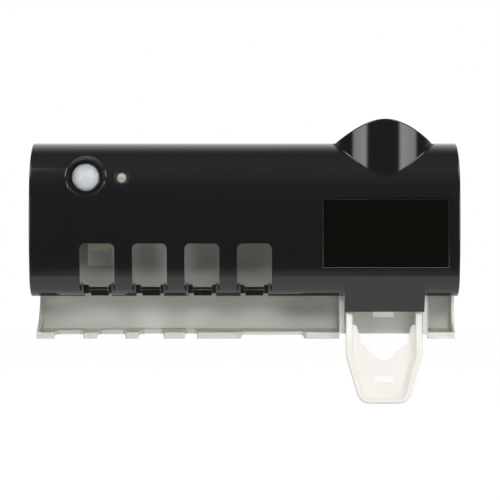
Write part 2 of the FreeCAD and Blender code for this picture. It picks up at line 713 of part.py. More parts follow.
def tray_notch(x, front_width, back_width, back_y):
    """Notch that narrows from the lip to the back, with rounded mouth corners."""
    half_front, half_back = front_width / 2, back_width / 2
    before = -TRAY_REACH - TRAY_CORNER * 2
    corners = [
        (x - half_front - TRAY_CORNER * 3, before, 0), (x - half_front - TRAY_CORNER * 3, -TRAY_REACH, 0),
        (x - half_front, -TRAY_REACH, TRAY_CORNER), (x - half_back, back_y, TRAY_CORNER / 2),
        (x + half_back, back_y, TRAY_CORNER / 2), (x + half_front, -TRAY_REACH, TRAY_CORNER),
        (x + half_front + TRAY_CORNER * 3, -TRAY_REACH, 0), (x + half_front + TRAY_CORNER * 3, before, 0),
    ]
    low = PLATE_BOTTOM_Z - TRAY_LIP_DROP - CUT_OVER
    return plate_xy(corners, low, PLATE_BOTTOM_Z + TRAY_REAR_RISE + CUT_OVER)


def rounded_tray(x0, x1, notches):
    """A run of tray with its notches cut and the upper edge of its lip and notches rounded."""
    plain = tray(x0, x1)
    if notches:
        plain = plain.cut(notches)
    lip_z = PLATE_BOTTOM_Z + TRAY_REAR_RISE - TRAY_FALL
    lip = [
        e for e in plain.Edges
        if e.BoundBox.YMax < -TRAY_REACH + 1e-3 and e.BoundBox.ZMin > lip_z - 1e-3
    ]
    return plain.makeFillet(TRAY_EDGE_FILLET, lip)


def wing(x0, x1, top_y, top_z, sag):
    """End gusset of the tray, with a hollow front edge."""
    foot_z = PLATE_BOTTOM_Z + TRAY_REAR_RISE - TRAY_FALL
    top, foot = V(x0, top_y, top_z), V(x0, -TRAY_REACH, foot_z)
    chord = foot - top
    inward = V(0, chord.z, -chord.y).normalize()
    middle = (top + foot) * 0.5 - inward * sag
    low = PLATE_BOTTOM_Z
    corners = [foot, V(x0, -TRAY_REACH, low), V(x0, 0, low), V(x0, 0, top_z), top]
    edges = [Part.Arc(top, middle, foot).toShape()]
    edges += [Part.LineSegment(a, b).toShape() for a, b in zip(corners, corners[1:])]
    solid = Part.Face(Part.Wire(edges)).extrude(V(x1 - x0, 0, 0))
    hollow = [e for e in solid.Edges if e.Curve.TypeId == "Part::GeomCircle"]
    return solid.makeFillet(WING_EDGE_FILLET, hollow)


def hanger(x):
    """Raised pocket under a hanger hole, as a solid and the room to cut from it and the plate."""
    half = HANGER_HOLE_WIDTH / 2
    bottom_z = HANGER_SILL_Z - POCKET_HEIGHT
    top_z = HANGER_SILL_Z + HANGER_HOLE_HEIGHT
    outer = half + POCKET_WALL
    corners = [
        (x - outer, bottom_z, POCKET_CORNER), (x + outer, bottom_z, POCKET_CORNER),
        (x + outer, top_z, 0), (x - outer, top_z, 0),
    ]
    front_y = PLATE_FRONT_Y - POCKET_DEPTH
    raised = plate_xz(corners, front_y, 0)
    brow = top_z - 1e-3
    rim = [e for e in raised.Edges if e.BoundBox.YMax < front_y + 1e-4 and e.BoundBox.ZMin < brow]
    raised = raised.makeFillet(POCKET_EDGE_FILLET, rim)
    room = box(x - half, x + half, front_y + POCKET_WALL, CUT_OVER, bottom_z + POCKET_WALL, HANGER_SILL_Z)
    hole = box(x - half, x + half, front_y - CUT_OVER, CUT_OVER, HANGER_SILL_Z, top_z)
    return raised, room.fuse(hole)


def back_plate():
    plate = box(-PLATE_HALF, PLATE_HALF, PLATE_FRONT_Y, 0, PLATE_BOTTOM_Z, PLATE_TOP_Z)
    bay_left, bay_right = DISPENSER_X - BAY_HALF, DISPENSER_X + BAY_HALF
    foot_z = PLATE_BOTTOM_Z + DIVIDER_FOOT
    outer_left, outer_right = bay_left - DIVIDER_THICKNESS, bay_right + DIVIDER_THICKNESS
    notches = [tray_notch(-PLATE_HALF + inset, *sizes) for inset, *sizes in TRAY_NOTCHES]
    notches.append(tray_notch(outer_left - WIDE_NOTCH[0], *WIDE_NOTCH[1:]))
    tray_right = RIGHT_X - TRAY_RIGHT_INSET
    wing_top_z = PLATE_BOTTOM_Z + TRAY_REAR_RISE - TRAY_FALL + WING_HEIGHT
    pieces = [
        rounded_tray(-PLATE_HALF, outer_left, notches),
        rounded_tray(outer_right, tray_right, []),
        wing(-PLATE_HALF, -PLATE_HALF + WING_THICKNESS, PLATE_FRONT_Y, wing_top_z, WING_SAG),
        wing(tray_right - WING_THICKNESS, tray_right, RIGHT_WING_TOP_Y, BOTTOM_Z - SLIDE_GAP, RIGHT_WING_SAG),
        box(outer_left, bay_left, -TRAY_REACH, 0, foot_z, DIVIDER_TOP_Z),
        box(bay_right, outer_right, -TRAY_REACH, 0, foot_z, DIVIDER_TOP_Z),
        box(CHAMBER_LEFT, CHAMBER_RIGHT, -CEILING_REACH, 0, CEILING_Z - CEILING_THICKNESS, CEILING_Z),
    ]
    runner_rear = FLANGE_FRONT_Y - SLIDE_GAP
    runner_front = runner_rear - RUNNER_THICKNESS
    for x in (bay_left, bay_right - RUNNER_REACH):
        pieces.append(box(x, x + RUNNER_REACH, runner_front, runner_rear, foot_z, DIVIDER_TOP_Z))
    stop_z = FLANGE_TOP_Z + SLIDE_GAP
    for side in (-1, 1):
        a, b = sorted((DISPENSER_X + side * STOP_INNER, DISPENSER_X + side * STOP_OUTER))
        pieces.append(box(a, b, FLANGE_FRONT_Y, 0, stop_z, stop_z + STOP_THICKNESS))
    hangers = [hanger(x) for x in HANGER_XS]
    plate = join(plate, *pieces, *[raised for raised, room in hangers])

    cuts = [room for raised, room in hangers]
    screw_points = [(x, z) for x in BOSS_XS for z in BOSS_ZS] + [(x, FLOOR_BOSS_Z) for x in FLOOR_BOSS_XS]
    for x, z in screw_points:
        cuts.append(rod_y(SCREW_HOLE_RADIUS, x, z, PLATE_FRONT_Y - CUT_OVER, CUT_OVER))
        cuts.append(rod_y(SCREW_HEAD_RADIUS + MOULD_GAP, x, z, -SCREW_SINK, CUT_OVER))
    pilot = SMALL_SCREW_RADIUS + PIN_FIT
    bite = PLATE_FRONT_Y + HOLDER_SCREW_BITE + MOULD_GAP
    cuts += [rod_y(pilot, x, z, PLATE_FRONT_Y - CUT_OVER, bite) for x, z in holder_ears()]
    for x, y in strip_screw_points():
        cuts.append(rod_z(pilot, x, y, CEILING_Z - CEILING_THICKNESS - CUT_OVER, CEILING_Z + CUT_OVER))
    return plate.cut(cuts).removeSplitter()


def floor_front_y():
    """Front edge of the brush floor, just clear of the inside of the heel."""
    radius = HEEL_RADIUS - COVER_WALL
    drop = HEEL[0][1] - FLOOR_LOW_Z
    return HEEL[0][0] - math.sqrt(radius * radius - drop * drop) + MOULD_GAP * 2


def brush_floor():
    """Floor that falls to the front, with a raised lip, and a drip rib across the end of each notch."""
    front = floor_front_y()
    rear = PLATE_FRONT_Y - MOULD_GAP / 2
    low, top = FLOOR_LOW_Z, FLOOR_TOP_Z
    corners = [(front, low, 0), (rear, low, 0), (rear, top, 0), (front, top - FLOOR_FALL, 0)]
    slab = prism_yz(corners, CHAMBER_LEFT, CHAMBER_RIGHT)
    cheek_z = top + CHEEK_RISE
    lip = box(CHAMBER_LEFT, CHAMBER_RIGHT, front, front + CHEEK_THICKNESS, low, cheek_z)
    rib_top = top + FLOOR_REAR_RIB
    rib = box(CHAMBER_LEFT, CHAMBER_RIGHT, rear - FLOOR_RIB_THICKNESS, rear, low, rib_top)
    half = NOTCH_WIDTH / 2
    drips = [
        box(x - half, x + half, NOTCH_END_Y, NOTCH_END_Y + DRIP_RIB_THICKNESS, BOTTOM_Z, top - FLOOR_FALL)
        for x in WINDOW_XS
    ]
    bosses = []
    boss_front = rear - FLOOR_BOSS_LENGTH
    for x in FLOOR_BOSS_XS:
        bosses.append(rod_y(FLOOR_BOSS_RADIUS, x, FLOOR_BOSS_Z, boss_front, rear))
        x0, x1 = x - FLOOR_BOSS_RADIUS, x + FLOOR_BOSS_RADIUS
        bosses.append(box(x0, x1, boss_front, rear, low, FLOOR_BOSS_Z))
    floor = join(slab, lip, rib, *drips, *bosses)
    cuts = []
    before = front - CUT_OVER
    wide = half + NOTCH_EDGE_ROUND * 2
    for x in WINDOW_XS:
        notch = [
            (x - half, NOTCH_END_Y, 0), (x - half, front, NOTCH_EDGE_ROUND), (x - wide, front, 0),
            (x - wide, before, 0), (x + wide, before, 0), (x + wide, front, 0),
            (x + half, front, NOTCH_EDGE_ROUND), (x + half, NOTCH_END_Y, 0),
        ]
        cuts.append(plate_xy(notch, BOTTOM_Z, TOP_Z))
        mouth_half, mouth_z = half + NOTCH_MOUTH_RUN, cheek_z - NOTCH_MOUTH_FALL
        mouth = [
            (x - mouth_half, cheek_z, 0), (x - half, mouth_z, 0),
            (x + half, mouth_z, 0), (x + mouth_half, cheek_z, 0),
        ]
        cuts.append(plate_xz(mouth, before, front + CHEEK_THICKNESS))
    pilot = SCREW_RADIUS + PIN_FIT
    cuts += [rod_y(pilot, x, FLOOR_BOSS_Z, boss_front, 0) for x in FLOOR_BOSS_XS]
    return floor.cut(cuts).removeSplitter()


def solar_panel():
    return panel_block(0, 0, PANEL_THICKNESS, PANEL_EDGE_FILLET)


def lens_ledge_y():
    return FRONT_Y + BEZEL_SETBACK + LENS_LEDGE


def pir_lens():
    """Thin domed lens with a flange behind the bezel's ledge."""
    ledge = lens_ledge_y()
    flange = rod_y(LENS_FLANGE_RADIUS, PIR_X, PIR_Z, ledge, ledge + LENS_FLANGE_THICKNESS)

    def cap(radius, height):
        ball = (radius * radius + height * height) / (2 * height)
        sphere = Part.makeSphere(ball, V(PIR_X, ledge - height + ball, PIR_Z))
        reach = ball * 3
        back = ledge + LENS_FLANGE_THICKNESS
        return sphere.common(rod_y(radius, PIR_X, PIR_Z, ledge - reach, back))

    dome = cap(LENS_RADIUS, LENS_HEIGHT)
    room = cap(LENS_RADIUS - LENS_WALL, LENS_HEIGHT - LENS_WALL)
    room = room.fuse(rod_y(LENS_RADIUS - LENS_WALL, PIR_X, PIR_Z, ledge, ledge + LENS_FLANGE_THICKNESS))
    return join(flange, dome).cut(room)


def pir_sensor():
    """Metal can with a square sight on its face."""
    can = rod_y(SENSOR_RADIUS, PIR_X, PIR_Z, BOARD_FRONT_Y - SENSOR_HEIGHT, BOARD_FRONT_Y)
    half = SENSOR_SIGHT / 2
    face = BOARD_FRONT_Y - SENSOR_HEIGHT
    sight = box(PIR_X - half, PIR_X + half, face - CUT_OVER, face + MOULD_GAP, PIR_Z - half, PIR_Z + half)
    return can.cut(sight)


def status_led():
    """Round-nosed lamp with a flange on the board."""
    base = BOARD_FRONT_Y
    flange = rod_y(LED_FLANGE_RADIUS, LED_X, LED_Z, base - LED_FLANGE_THICKNESS, base)
    nose = base - LED_LENGTH + LED_RADIUS
    barrel = rod_y(LED_RADIUS, LED_X, LED_Z, nose, base)
    return join(flange, barrel, Part.makeSphere(LED_RADIUS, V(LED_X, nose, LED_Z)))


def control_board():
    corners = rounded_rectangle(BOARD_X, BOARD_Z, BOARD_WIDTH, BOARD_HEIGHT, POST_INSET / 2)
    board = plate_xz(corners, BOARD_FRONT_Y, BOARD_BACK_Y)
    hole = SMALL_SCREW_RADIUS + PIN_FIT
    return board.cut([rod_y(hole, x, z, FRONT_Y, 0) for x, z in board_posts()])


def board_parts():
    """Charge chip, driver chip, coil, capacitor and plug housing on the back of the board."""
    y = BOARD_BACK_Y
    pieces = []
    for dx, dz, width, height, tall in BOARD_BLOCKS:
        x, z = BOARD_X + dx, BOARD_Z + dz
        pieces.append(box(x - width / 2, x + width / 2, y, y + tall, z - height / 2, z + height / 2))
    dx, dz, radius, tall = BOARD_CAPACITOR
    pieces.append(rod_y(radius, BOARD_X + dx, BOARD_Z + dz, y, y + tall))
    return Part.makeCompound(pieces)


def board_screws():
    return Part.makeCompound([
        screw(SMALL_HEAD_RADIUS, SMALL_HEAD_HEIGHT, SMALL_SCREW_RADIUS, BOARD_SCREW_LENGTH,
              V(x, BOARD_BACK_Y, z), V(0, -1, 0))
        for x, z in board_posts()
    ])


def cell_y():
    return PLATE_FRONT_Y - HOLDER_WALL - MOULD_GAP - CELL_RADIUS


def battery_cell():
    half = CELL_LENGTH / 2
    start = V(CELL_X - half, cell_y(), CELL_Z)
    end = V(CELL_X + half, cell_y(), CELL_Z)
    shoulder = end - V(CELL_BUTTON_HEIGHT, 0, 0)
    can = rod(CELL_RADIUS, start, shoulder)
    button = rod(CELL_BUTTON_RADIUS, shoulder, end)
    return can.fuse(button).removeSplitter()


def holder_half_length():
    return CELL_LENGTH / 2 + MOULD_GAP * 2 + CONTACT_THICKNESS


def holder_ears():
    reach = CELL_RADIUS + MOULD_GAP + HOLDER_WALL + EAR_LENGTH / 2
    return [(CELL_X, CELL_Z - reach), (CELL_X, CELL_Z + reach)]


def battery_holder():
    """Open cradle with end walls and two screw ears."""
    rear = PLATE_FRONT_Y
    front = rear - HOLDER_RISE
    half_l = holder_half_length()
    half_h = CELL_RADIUS + MOULD_GAP
    wall = HOLDER_WALL
    tub = box(CELL_X - half_l - wall, CELL_X + half_l + wall, front, rear,
              CELL_Z - half_h - wall, CELL_Z + half_h + wall)
    room = box(CELL_X - half_l, CELL_X + half_l, front - CUT_OVER, rear - wall,
               CELL_Z - half_h, CELL_Z + half_h)
    half_e = EAR_WIDTH / 2
    reach = half_h + wall + EAR_LENGTH
    ears = box(CELL_X - half_e, CELL_X + half_e, rear - wall, rear, CELL_Z - reach, CELL_Z + reach)
    hole = SMALL_SCREW_RADIUS + PIN_FIT
    holes = [rod_y(hole, x, z, front, rear + CUT_OVER) for x, z in holder_ears()]
    return join(tub, ears).cut([room, *holes])


def battery_contacts():
    rear = PLATE_FRONT_Y - HOLDER_WALL
    half_l = holder_half_length()
    half = CONTACT_SIZE / 2
    plates = []
    for side in (-1, 1):
        x = sorted((CELL_X + side * half_l, CELL_X + side * (half_l - CONTACT_THICKNESS)))
        plates.append(box(x[0], x[1], rear - CONTACT_SIZE, rear, CELL_Z - half, CELL_Z + half))
    return Part.makeCompound(plates)


def holder_screws():
    seat = PLATE_FRONT_Y - HOLDER_WALL
    return Part.makeCompound([
        screw(SMALL_HEAD_RADIUS, SMALL_HEAD_HEIGHT, SMALL_SCREW_RADIUS, HOLDER_WALL + HOLDER_SCREW_BITE,
              V(x, seat, z), V(0, 1, 0))
        for x, z in holder_ears()
    ])


def strip_screw_points():
    y = STRIP_FRONT_Y + STRIP_DEPTH / 2
    return [(x, y) for x in FLOOR_BOSS_XS]


def strip_face_z():
    return CEILING_Z - CEILING_THICKNESS - STRIP_THICKNESS


def uv_board():
    margin = FLOOR_MARGIN / 2
    strip = box(CHAMBER_LEFT + margin, CHAMBER_RIGHT - margin, STRIP_FRONT_Y, STRIP_FRONT_Y + STRIP_DEPTH,
                strip_face_z(), strip_face_z() + STRIP_THICKNESS)
    hole = SMALL_SCREW_RADIUS + PIN_FIT
    low = strip_face_z() - CUT_OVER
    return strip.cut([rod_z(hole, x, y, low, CEILING_Z) for x, y in strip_screw_points()])


def uv_lamps():
    """One square lamp over each brush window."""
    half = LAMP_SIZE / 2
    y = STRIP_FRONT_Y + STRIP_DEPTH / 2
    z = strip_face_z()
    return Part.makeCompound([
        box(x - half, x + half, y - half, y + half, z - LAMP_HEIGHT, z) for x in WINDOW_XS
    ])


def uv_screws():
    z = strip_face_z()
    return Part.makeCompound([
        screw(SMALL_HEAD_RADIUS, SMALL_HEAD_HEIGHT, SMALL_SCREW_RADIUS, STRIP_THICKNESS + CEILING_THICKNESS,
              V(x, y, z), V(0, 0, 1))
        for x, y in strip_screw_points()
    ])


def plate_screws(points, length):
    return Part.makeCompound([
        screw(SCREW_HEAD_RADIUS, SCREW_HEAD_HEIGHT, SCREW_RADIUS, length, V(x, -SCREW_SINK, z), V(0, -1, 0))
        for x, z in points
    ])


def cover_screws():
    return plate_screws([(x, z) for x in BOSS_XS for z in BOSS_ZS], SCREW_LENGTH)


def floor_screws():
    length = PLATE_THICKNESS - SCREW_SINK + FLOOR_BOSS_LENGTH - MOULD_GAP * 2
    return plate_screws([(x, FLOOR_BOSS_Z) for x in FLOOR_BOSS_XS], length)


def lug_pair(half_inner, half_outer):
    """x spans of a left and a right piece on either side of the dispenser's centre line."""
    return (
        (DISPENSER_X - half_outer, DISPENSER_X - half_inner),
        (DISPENSER_X + half_inner, DISPENSER_X + half_outer),
    )


def squeezer_body():
    """Cartridge: sliding back flange, tube socket on top, pump block below and two pin lugs."""
    x = DISPENSER_X
    flange = box(x - FLANGE_HALF, x + FLANGE_HALF, FLANGE_FRONT_Y, FLANGE_REAR_Y,
                 BODY_BOTTOM_Z, FLANGE_TOP_Z)
    corners = rounded_rectangle(x, (BODY_BOTTOM_Z + TOWER_BOTTOM_Z) / 2, BODY_HALF * 2,
                                TOWER_BOTTOM_Z - BODY_BOTTOM_Z, BODY_FILLET)
    block = plate_xz(corners, BODY_FRONT_Y, FLANGE_REAR_Y)
    tower = rod_z(TOWER_RADIUS, x, TUBE_Y, TOWER_BOTTOM_Z, FLANGE_TOP_Z)
    dish = Part.makeCone(TOWER_RADIUS, DISH_RADIUS, DISH_HEIGHT, V(x, TUBE_Y, FLANGE_TOP_Z))
    web = box(x - TOWER_RADIUS, x + TOWER_RADIUS, TUBE_Y, FLANGE_REAR_Y, TOWER_BOTTOM_Z, FLANGE_TOP_Z)
    lugs = []
    half_h = LUG_HEIGHT / 2
    for x0, x1 in lug_pair(LUG_OUTER - LUG_THICKNESS, LUG_OUTER):
        nose = LUG_REACH
        profile = [
            (PIVOT_Y - nose, PIVOT_Z - half_h, nose), (FLANGE_REAR_Y, PIVOT_Z - half_h, 0),
            (FLANGE_REAR_Y, PIVOT_Z + half_h, 0), (PIVOT_Y - nose, PIVOT_Z + half_h, nose),
        ]
        lugs.append(prism_yz(profile, x0, x1))
    half_t = TONGUE_WIDTH / 2
    shelf_z = BODY_BOTTOM_Z + TONGUE_THICKNESS
    tongue_back = TONGUE_Y + TONGUE_THICKNESS
    profile = [
        (TONGUE_Y, BODY_BOTTOM_Z - TONGUE_LENGTH, 0), (tongue_back, BODY_BOTTOM_Z - TONGUE_LENGTH, 0),
        (tongue_back, BODY_BOTTOM_Z, 0), (BODY_FRONT_Y + BODY_FILLET, BODY_BOTTOM_Z, 0),
        (BODY_FRONT_Y + BODY_FILLET, shelf_z, 0), (TONGUE_Y, shelf_z, BODY_FILLET),
    ]
    tongue = prism_yz(profile, x - half_t, x + half_t)
    body = join(flange, block, tower, dish, web, tongue, *lugs)

    chamber_end = BODY_FRONT_Y + CHAMBER_DEPTH
    nozzle_top = BODY_BOTTOM_Z + NOZZLE_SOCKET_DEPTH
    cuts = [
        rod_z(SOCKET_RADIUS, x, TUBE_Y, SOCKET_FLOOR_Z, SOCKET_TOP_Z + CUT_OVER),
        rod_z(VALVE_SEAT_RADIUS, x, TUBE_Y, VALVE_SEAT_Z, SOCKET_FLOOR_Z + CUT_OVER),
        rod_z(PASSAGE_RADIUS, x, INLET_Y, PUMP_Z, VALVE_SEAT_Z + CUT_OVER),
        rod_y(CHAMBER_RADIUS, x, PUMP_Z, BODY_FRONT_Y - CUT_OVER, chamber_end),
        rod_z(PASSAGE_RADIUS, x, OUTLET_Y, BODY_BOTTOM_Z, PUMP_Z),
        rod_z(NOZZLE_RADIUS + PIN_FIT, x, OUTLET_Y, BODY_BOTTOM_Z - CUT_OVER, nozzle_top),
        rod(PIN_RADIUS + PIN_FIT, V(x - BAY_HALF, PIVOT_Y, PIVOT_Z), V(x + BAY_HALF, PIVOT_Y, PIVOT_Z)),
    ]
    pilot = SMALL_SCREW_RADIUS + PIN_FIT
    cuts += [rod_y(pilot, sx, sz, BODY_FRONT_Y - CUT_OVER, BODY_FRONT_Y + RING_SCREW_LENGTH)
             for sx, sz in ring_screw_points()]
    return body.cut(cuts).removeSplitter()


def tube_seal():
    """Silicone sleeve in the socket, with a flared mouth."""
    bottom, top = SOCKET_FLOOR_Z, SOCKET_TOP_Z
    outer = SOCKET_RADIUS - PIN_FIT
    points = [
        (SEAL_BORE_RADIUS, bottom), (outer, bottom), (outer, top), (SEAL_MOUTH_RADIUS, top),
        (SEAL_BORE_RADIUS, top - SEAL_MOUTH_DEPTH),
    ]
    return turned(points, DISPENSER_X, TUBE_Y, 0, V(0, 0, 1))


def inlet_valve():
    """Silicone flap that lies over the passage and opens downwards."""
    x, z0 = DISPENSER_X, VALVE_SEAT_Z
    z1 = z0 + INLET_FLAP_THICKNESS
    disc = rod_z(VALVE_SEAT_RADIUS - PIN_FIT, x, TUBE_Y, z0, z1)
    flap_radius = PASSAGE_RADIUS + INLET_FLAP_RIM
    slit = rod_z(flap_radius + INLET_FLAP_SLIT, x, INLET_Y, z0, z1)
    slit = slit.cut(rod_z(flap_radius, x, INLET_Y, z0, z1))
    half = INLET_HINGE_WIDTH / 2
    hinge = box(x - half, x + half, TUBE_Y, INLET_Y, z0, z1)
    return disc.cut(slit.cut(hinge)).removeSplitter()


def nozzle_bottom_z():
    return BODY_BOTTOM_Z + NOZZLE_SOCKET_DEPTH - NOZZLE_LENGTH


def nozzle():
    """Spout pressed up into the pump block, with a tapered tip."""
    top, bottom = BODY_BOTTOM_Z + NOZZLE_SOCKET_DEPTH, nozzle_bottom_z()
    points = [
        (NOZZLE_BORE_RADIUS, bottom), (NOZZLE_TIP_RADIUS, bottom), (NOZZLE_RADIUS, BODY_BOTTOM_Z),
        (NOZZLE_RADIUS, top), (NOZZLE_BORE_RADIUS, top),
    ]
    return turned(points, DISPENSER_X, OUTLET_Y, 0, V(0, 0, 1))


def outlet_valve():
    """Duckbill inside the spout: a short sleeve that closes to a flat lip."""
    top = BODY_BOTTOM_Z + NOZZLE_SOCKET_DEPTH
    outer = NOZZLE_BORE_RADIUS - PIN_FIT
    points = [
        (outer - BILL_WALL, top - BILL_LENGTH / 2), (outer - BILL_WALL, top), (outer, top),
        (outer, top - BILL_LENGTH / 2), (BILL_WALL, top - BILL_LENGTH), (0, top - BILL_LENGTH),
        (0, top - BILL_LENGTH + BILL_WALL),
    ]
    return turned(points, DISPENSER_X, OUTLET_Y, 0, V(0, 0, 1))


def bellows_front_y():
    return BODY_FRONT_Y - BELLOWS_LENGTH


def pump_bellows():
    """Silicone hat clamped on the pump block, open to the chamber."""
    length = BELLOWS_LENGTH
    inner = BELLOWS_RADIUS - BELLOWS_WALL
    points = [
        (inner, 0), (BELLOWS_FLANGE_RADIUS, 0), (BELLOWS_FLANGE_RADIUS, BELLOWS_WALL),
        (BELLOWS_RADIUS, BELLOWS_WALL), (BELLOWS_RADIUS, length), (0, length), (0, length - BELLOWS_WALL),
        (inner, length - BELLOWS_WALL),
    ]
    return turned(points, DISPENSER_X, BODY_FRONT_Y, PUMP_Z, V(0, -1, 0))


def ring_screw_points():
    half_w, half_h = RING_HALF_WIDTH - RING_SCREW_INSET, RING_HALF_HEIGHT - RING_SCREW_INSET
    return [(DISPENSER_X + sx * half_w, PUMP_Z + sz * half_h) for sx in (-1, 1) for sz in (-1, 1)]


def ring_front_y():
    return BODY_FRONT_Y - BELLOWS_WALL - RING_THICKNESS


def pump_ring():
    """Clamp plate over the bellows' flange, with a short guide for the plunger."""
    front = ring_front_y()
    rear = BODY_FRONT_Y
    corners = rounded_rectangle(DISPENSER_X, PUMP_Z, RING_HALF_WIDTH * 2, RING_HALF_HEIGHT * 2, RING_CORNER)
    plate = plate_xz(corners, front, rear)
    guide = rod_y(RING_GUIDE_RADIUS, DISPENSER_X, PUMP_Z, front - RING_GUIDE_LENGTH, rear)
    hole = SMALL_SCREW_RADIUS + PIN_FIT
    before = front - RING_GUIDE_LENGTH - CUT_OVER
    cuts = [
        rod_y(BELLOWS_RADIUS + RING_BORE_GAP, DISPENSER_X, PUMP_Z, before, rear),
        rod_y(BELLOWS_FLANGE_RADIUS + PIN_FIT, DISPENSER_X, PUMP_Z, rear - BELLOWS_WALL, rear + CUT_OVER),
    ]
    cuts += [rod_y(hole, x, z, front - CUT_OVER, rear + CUT_OVER) for x, z in ring_screw_points()]
    return join(plate, guide).cut(cuts)


def ring_screws():
    return Part.makeCompound([
        screw(SMALL_HEAD_RADIUS, SMALL_HEAD_HEIGHT, SMALL_SCREW_RADIUS, RING_SCREW_LENGTH,
              V(x, ring_front_y(), z), V(0, 1, 0))
        for x, z in ring_screw_points()
    ])


def biarc(a, b, dir_a, dir_b):
    """Two tangent arcs between two points with given directions."""
    gap = b - a
    both = dir_a + dir_b
    square = 2 * (1 - dir_a.dot(dir_b))
    along = gap.dot(both)
    reach = (-along + math.sqrt(along * along + square * gap.dot(gap))) / square
    knee_a, knee_b = a + dir_a * reach, b - dir_b * reach
    joint = (knee_a + knee_b) * 0.5
    arcs = []
    for start, knee, end in ((a, knee_a, joint), (joint, knee_b, b)):
        middle = (start + end) * 0.5
        height = (knee - middle).Length
        half = (end - start).Length / 2
        radius = math.hypot(height, half) * half / height
        sagitta = radius - math.sqrt(radius * radius - half * half)
        arcs.append(Part.Arc(start, middle + (knee - middle).normalize() * sagitta, end).toShape())
    return arcs


def return_spring():
    """Coil spring from the chamber's end wall to the inside of the bellows."""
    rear = BODY_FRONT_Y + CHAMBER_DEPTH - SPRING_WIRE_RADIUS - PIN_FIT
    front = bellows_front_y() + BELLOWS_WALL + SPRING_WIRE_RADIUS + PIN_FIT
    quarters = SPRING_TURNS * 4
    step = (front - rear) / quarters

    def spot(i):
        angle = i * math.pi / 2
        across, up = SPRING_RADIUS * math.cos(angle), SPRING_RADIUS * math.sin(angle)
        return V(DISPENSER_X + across, rear + i * step, PUMP_Z + up)

    def heading(i):
        angle = i * math.pi / 2
        arc = SPRING_RADIUS * math.pi / 2
        return V(-arc * math.sin(angle), step, arc * math.cos(angle)).normalize()

    edges = []
    for i in range(quarters):
        edges += biarc(spot(i), spot(i + 1), heading(i), heading(i + 1))
    path = Part.Wire(edges)
    section = Part.Wire(Part.Circle(spot(0), heading(0), SPRING_WIRE_RADIUS).toShape())
    return path.makePipeShell([section], True, False)


def lever_lean(shape):
    """Lean a piece that was drawn upright forward about the lever's pins."""
    leaned = shape.copy()
    leaned.rotate(V(DISPENSER_X, PIVOT_Y, PIVOT_Z), V(1, 0, 0), -LEVER_LEAN)
    return leaned


def cross_bar_rear_y():
    """y of the cross bar's rear face on the pump's axis, with the lever at rest."""
    lean = math.radians(LEVER_LEAN)
    drop = (PIVOT_Z - PUMP_Z - LEVER_REAR * math.sin(lean)) / math.cos(lean)
    return PIVOT_Y + LEVER_REAR * math.cos(lean) - drop * math.sin(lean)


def plunger():
    """Pusher between the lever's cross bar and the bellows, with a domed tip."""
    rear = bellows_front_y() - MOULD_GAP / 2
    bore = BELLOWS_RADIUS + RING_BORE_GAP
    head = rod_y(bore - PLUNGER_RUN, DISPENSER_X, PUMP_Z, rear - PLUNGER_HEAD_THICKNESS, rear)
    tip = cross_bar_rear_y() + PLUNGER_GAP
    nose = tip + PLUNGER_TIP_RADIUS
    stem = rod_y(PLUNGER_TIP_RADIUS, DISPENSER_X, PUMP_Z, nose, rear)
    return join(head, stem, Part.makeSphere(PLUNGER_TIP_RADIUS, V(DISPENSER_X, nose, PUMP_Z)))


def lever_pins():
    inner = LUG_OUTER - LUG_THICKNESS
    return Part.makeCompound([
        rod(PIN_RADIUS, V(x0, PIVOT_Y, PIVOT_Z), V(x1, PIVOT_Y, PIVOT_Z))
        for x0, x1 in lug_pair(inner, LEVER_HALF)
    ])


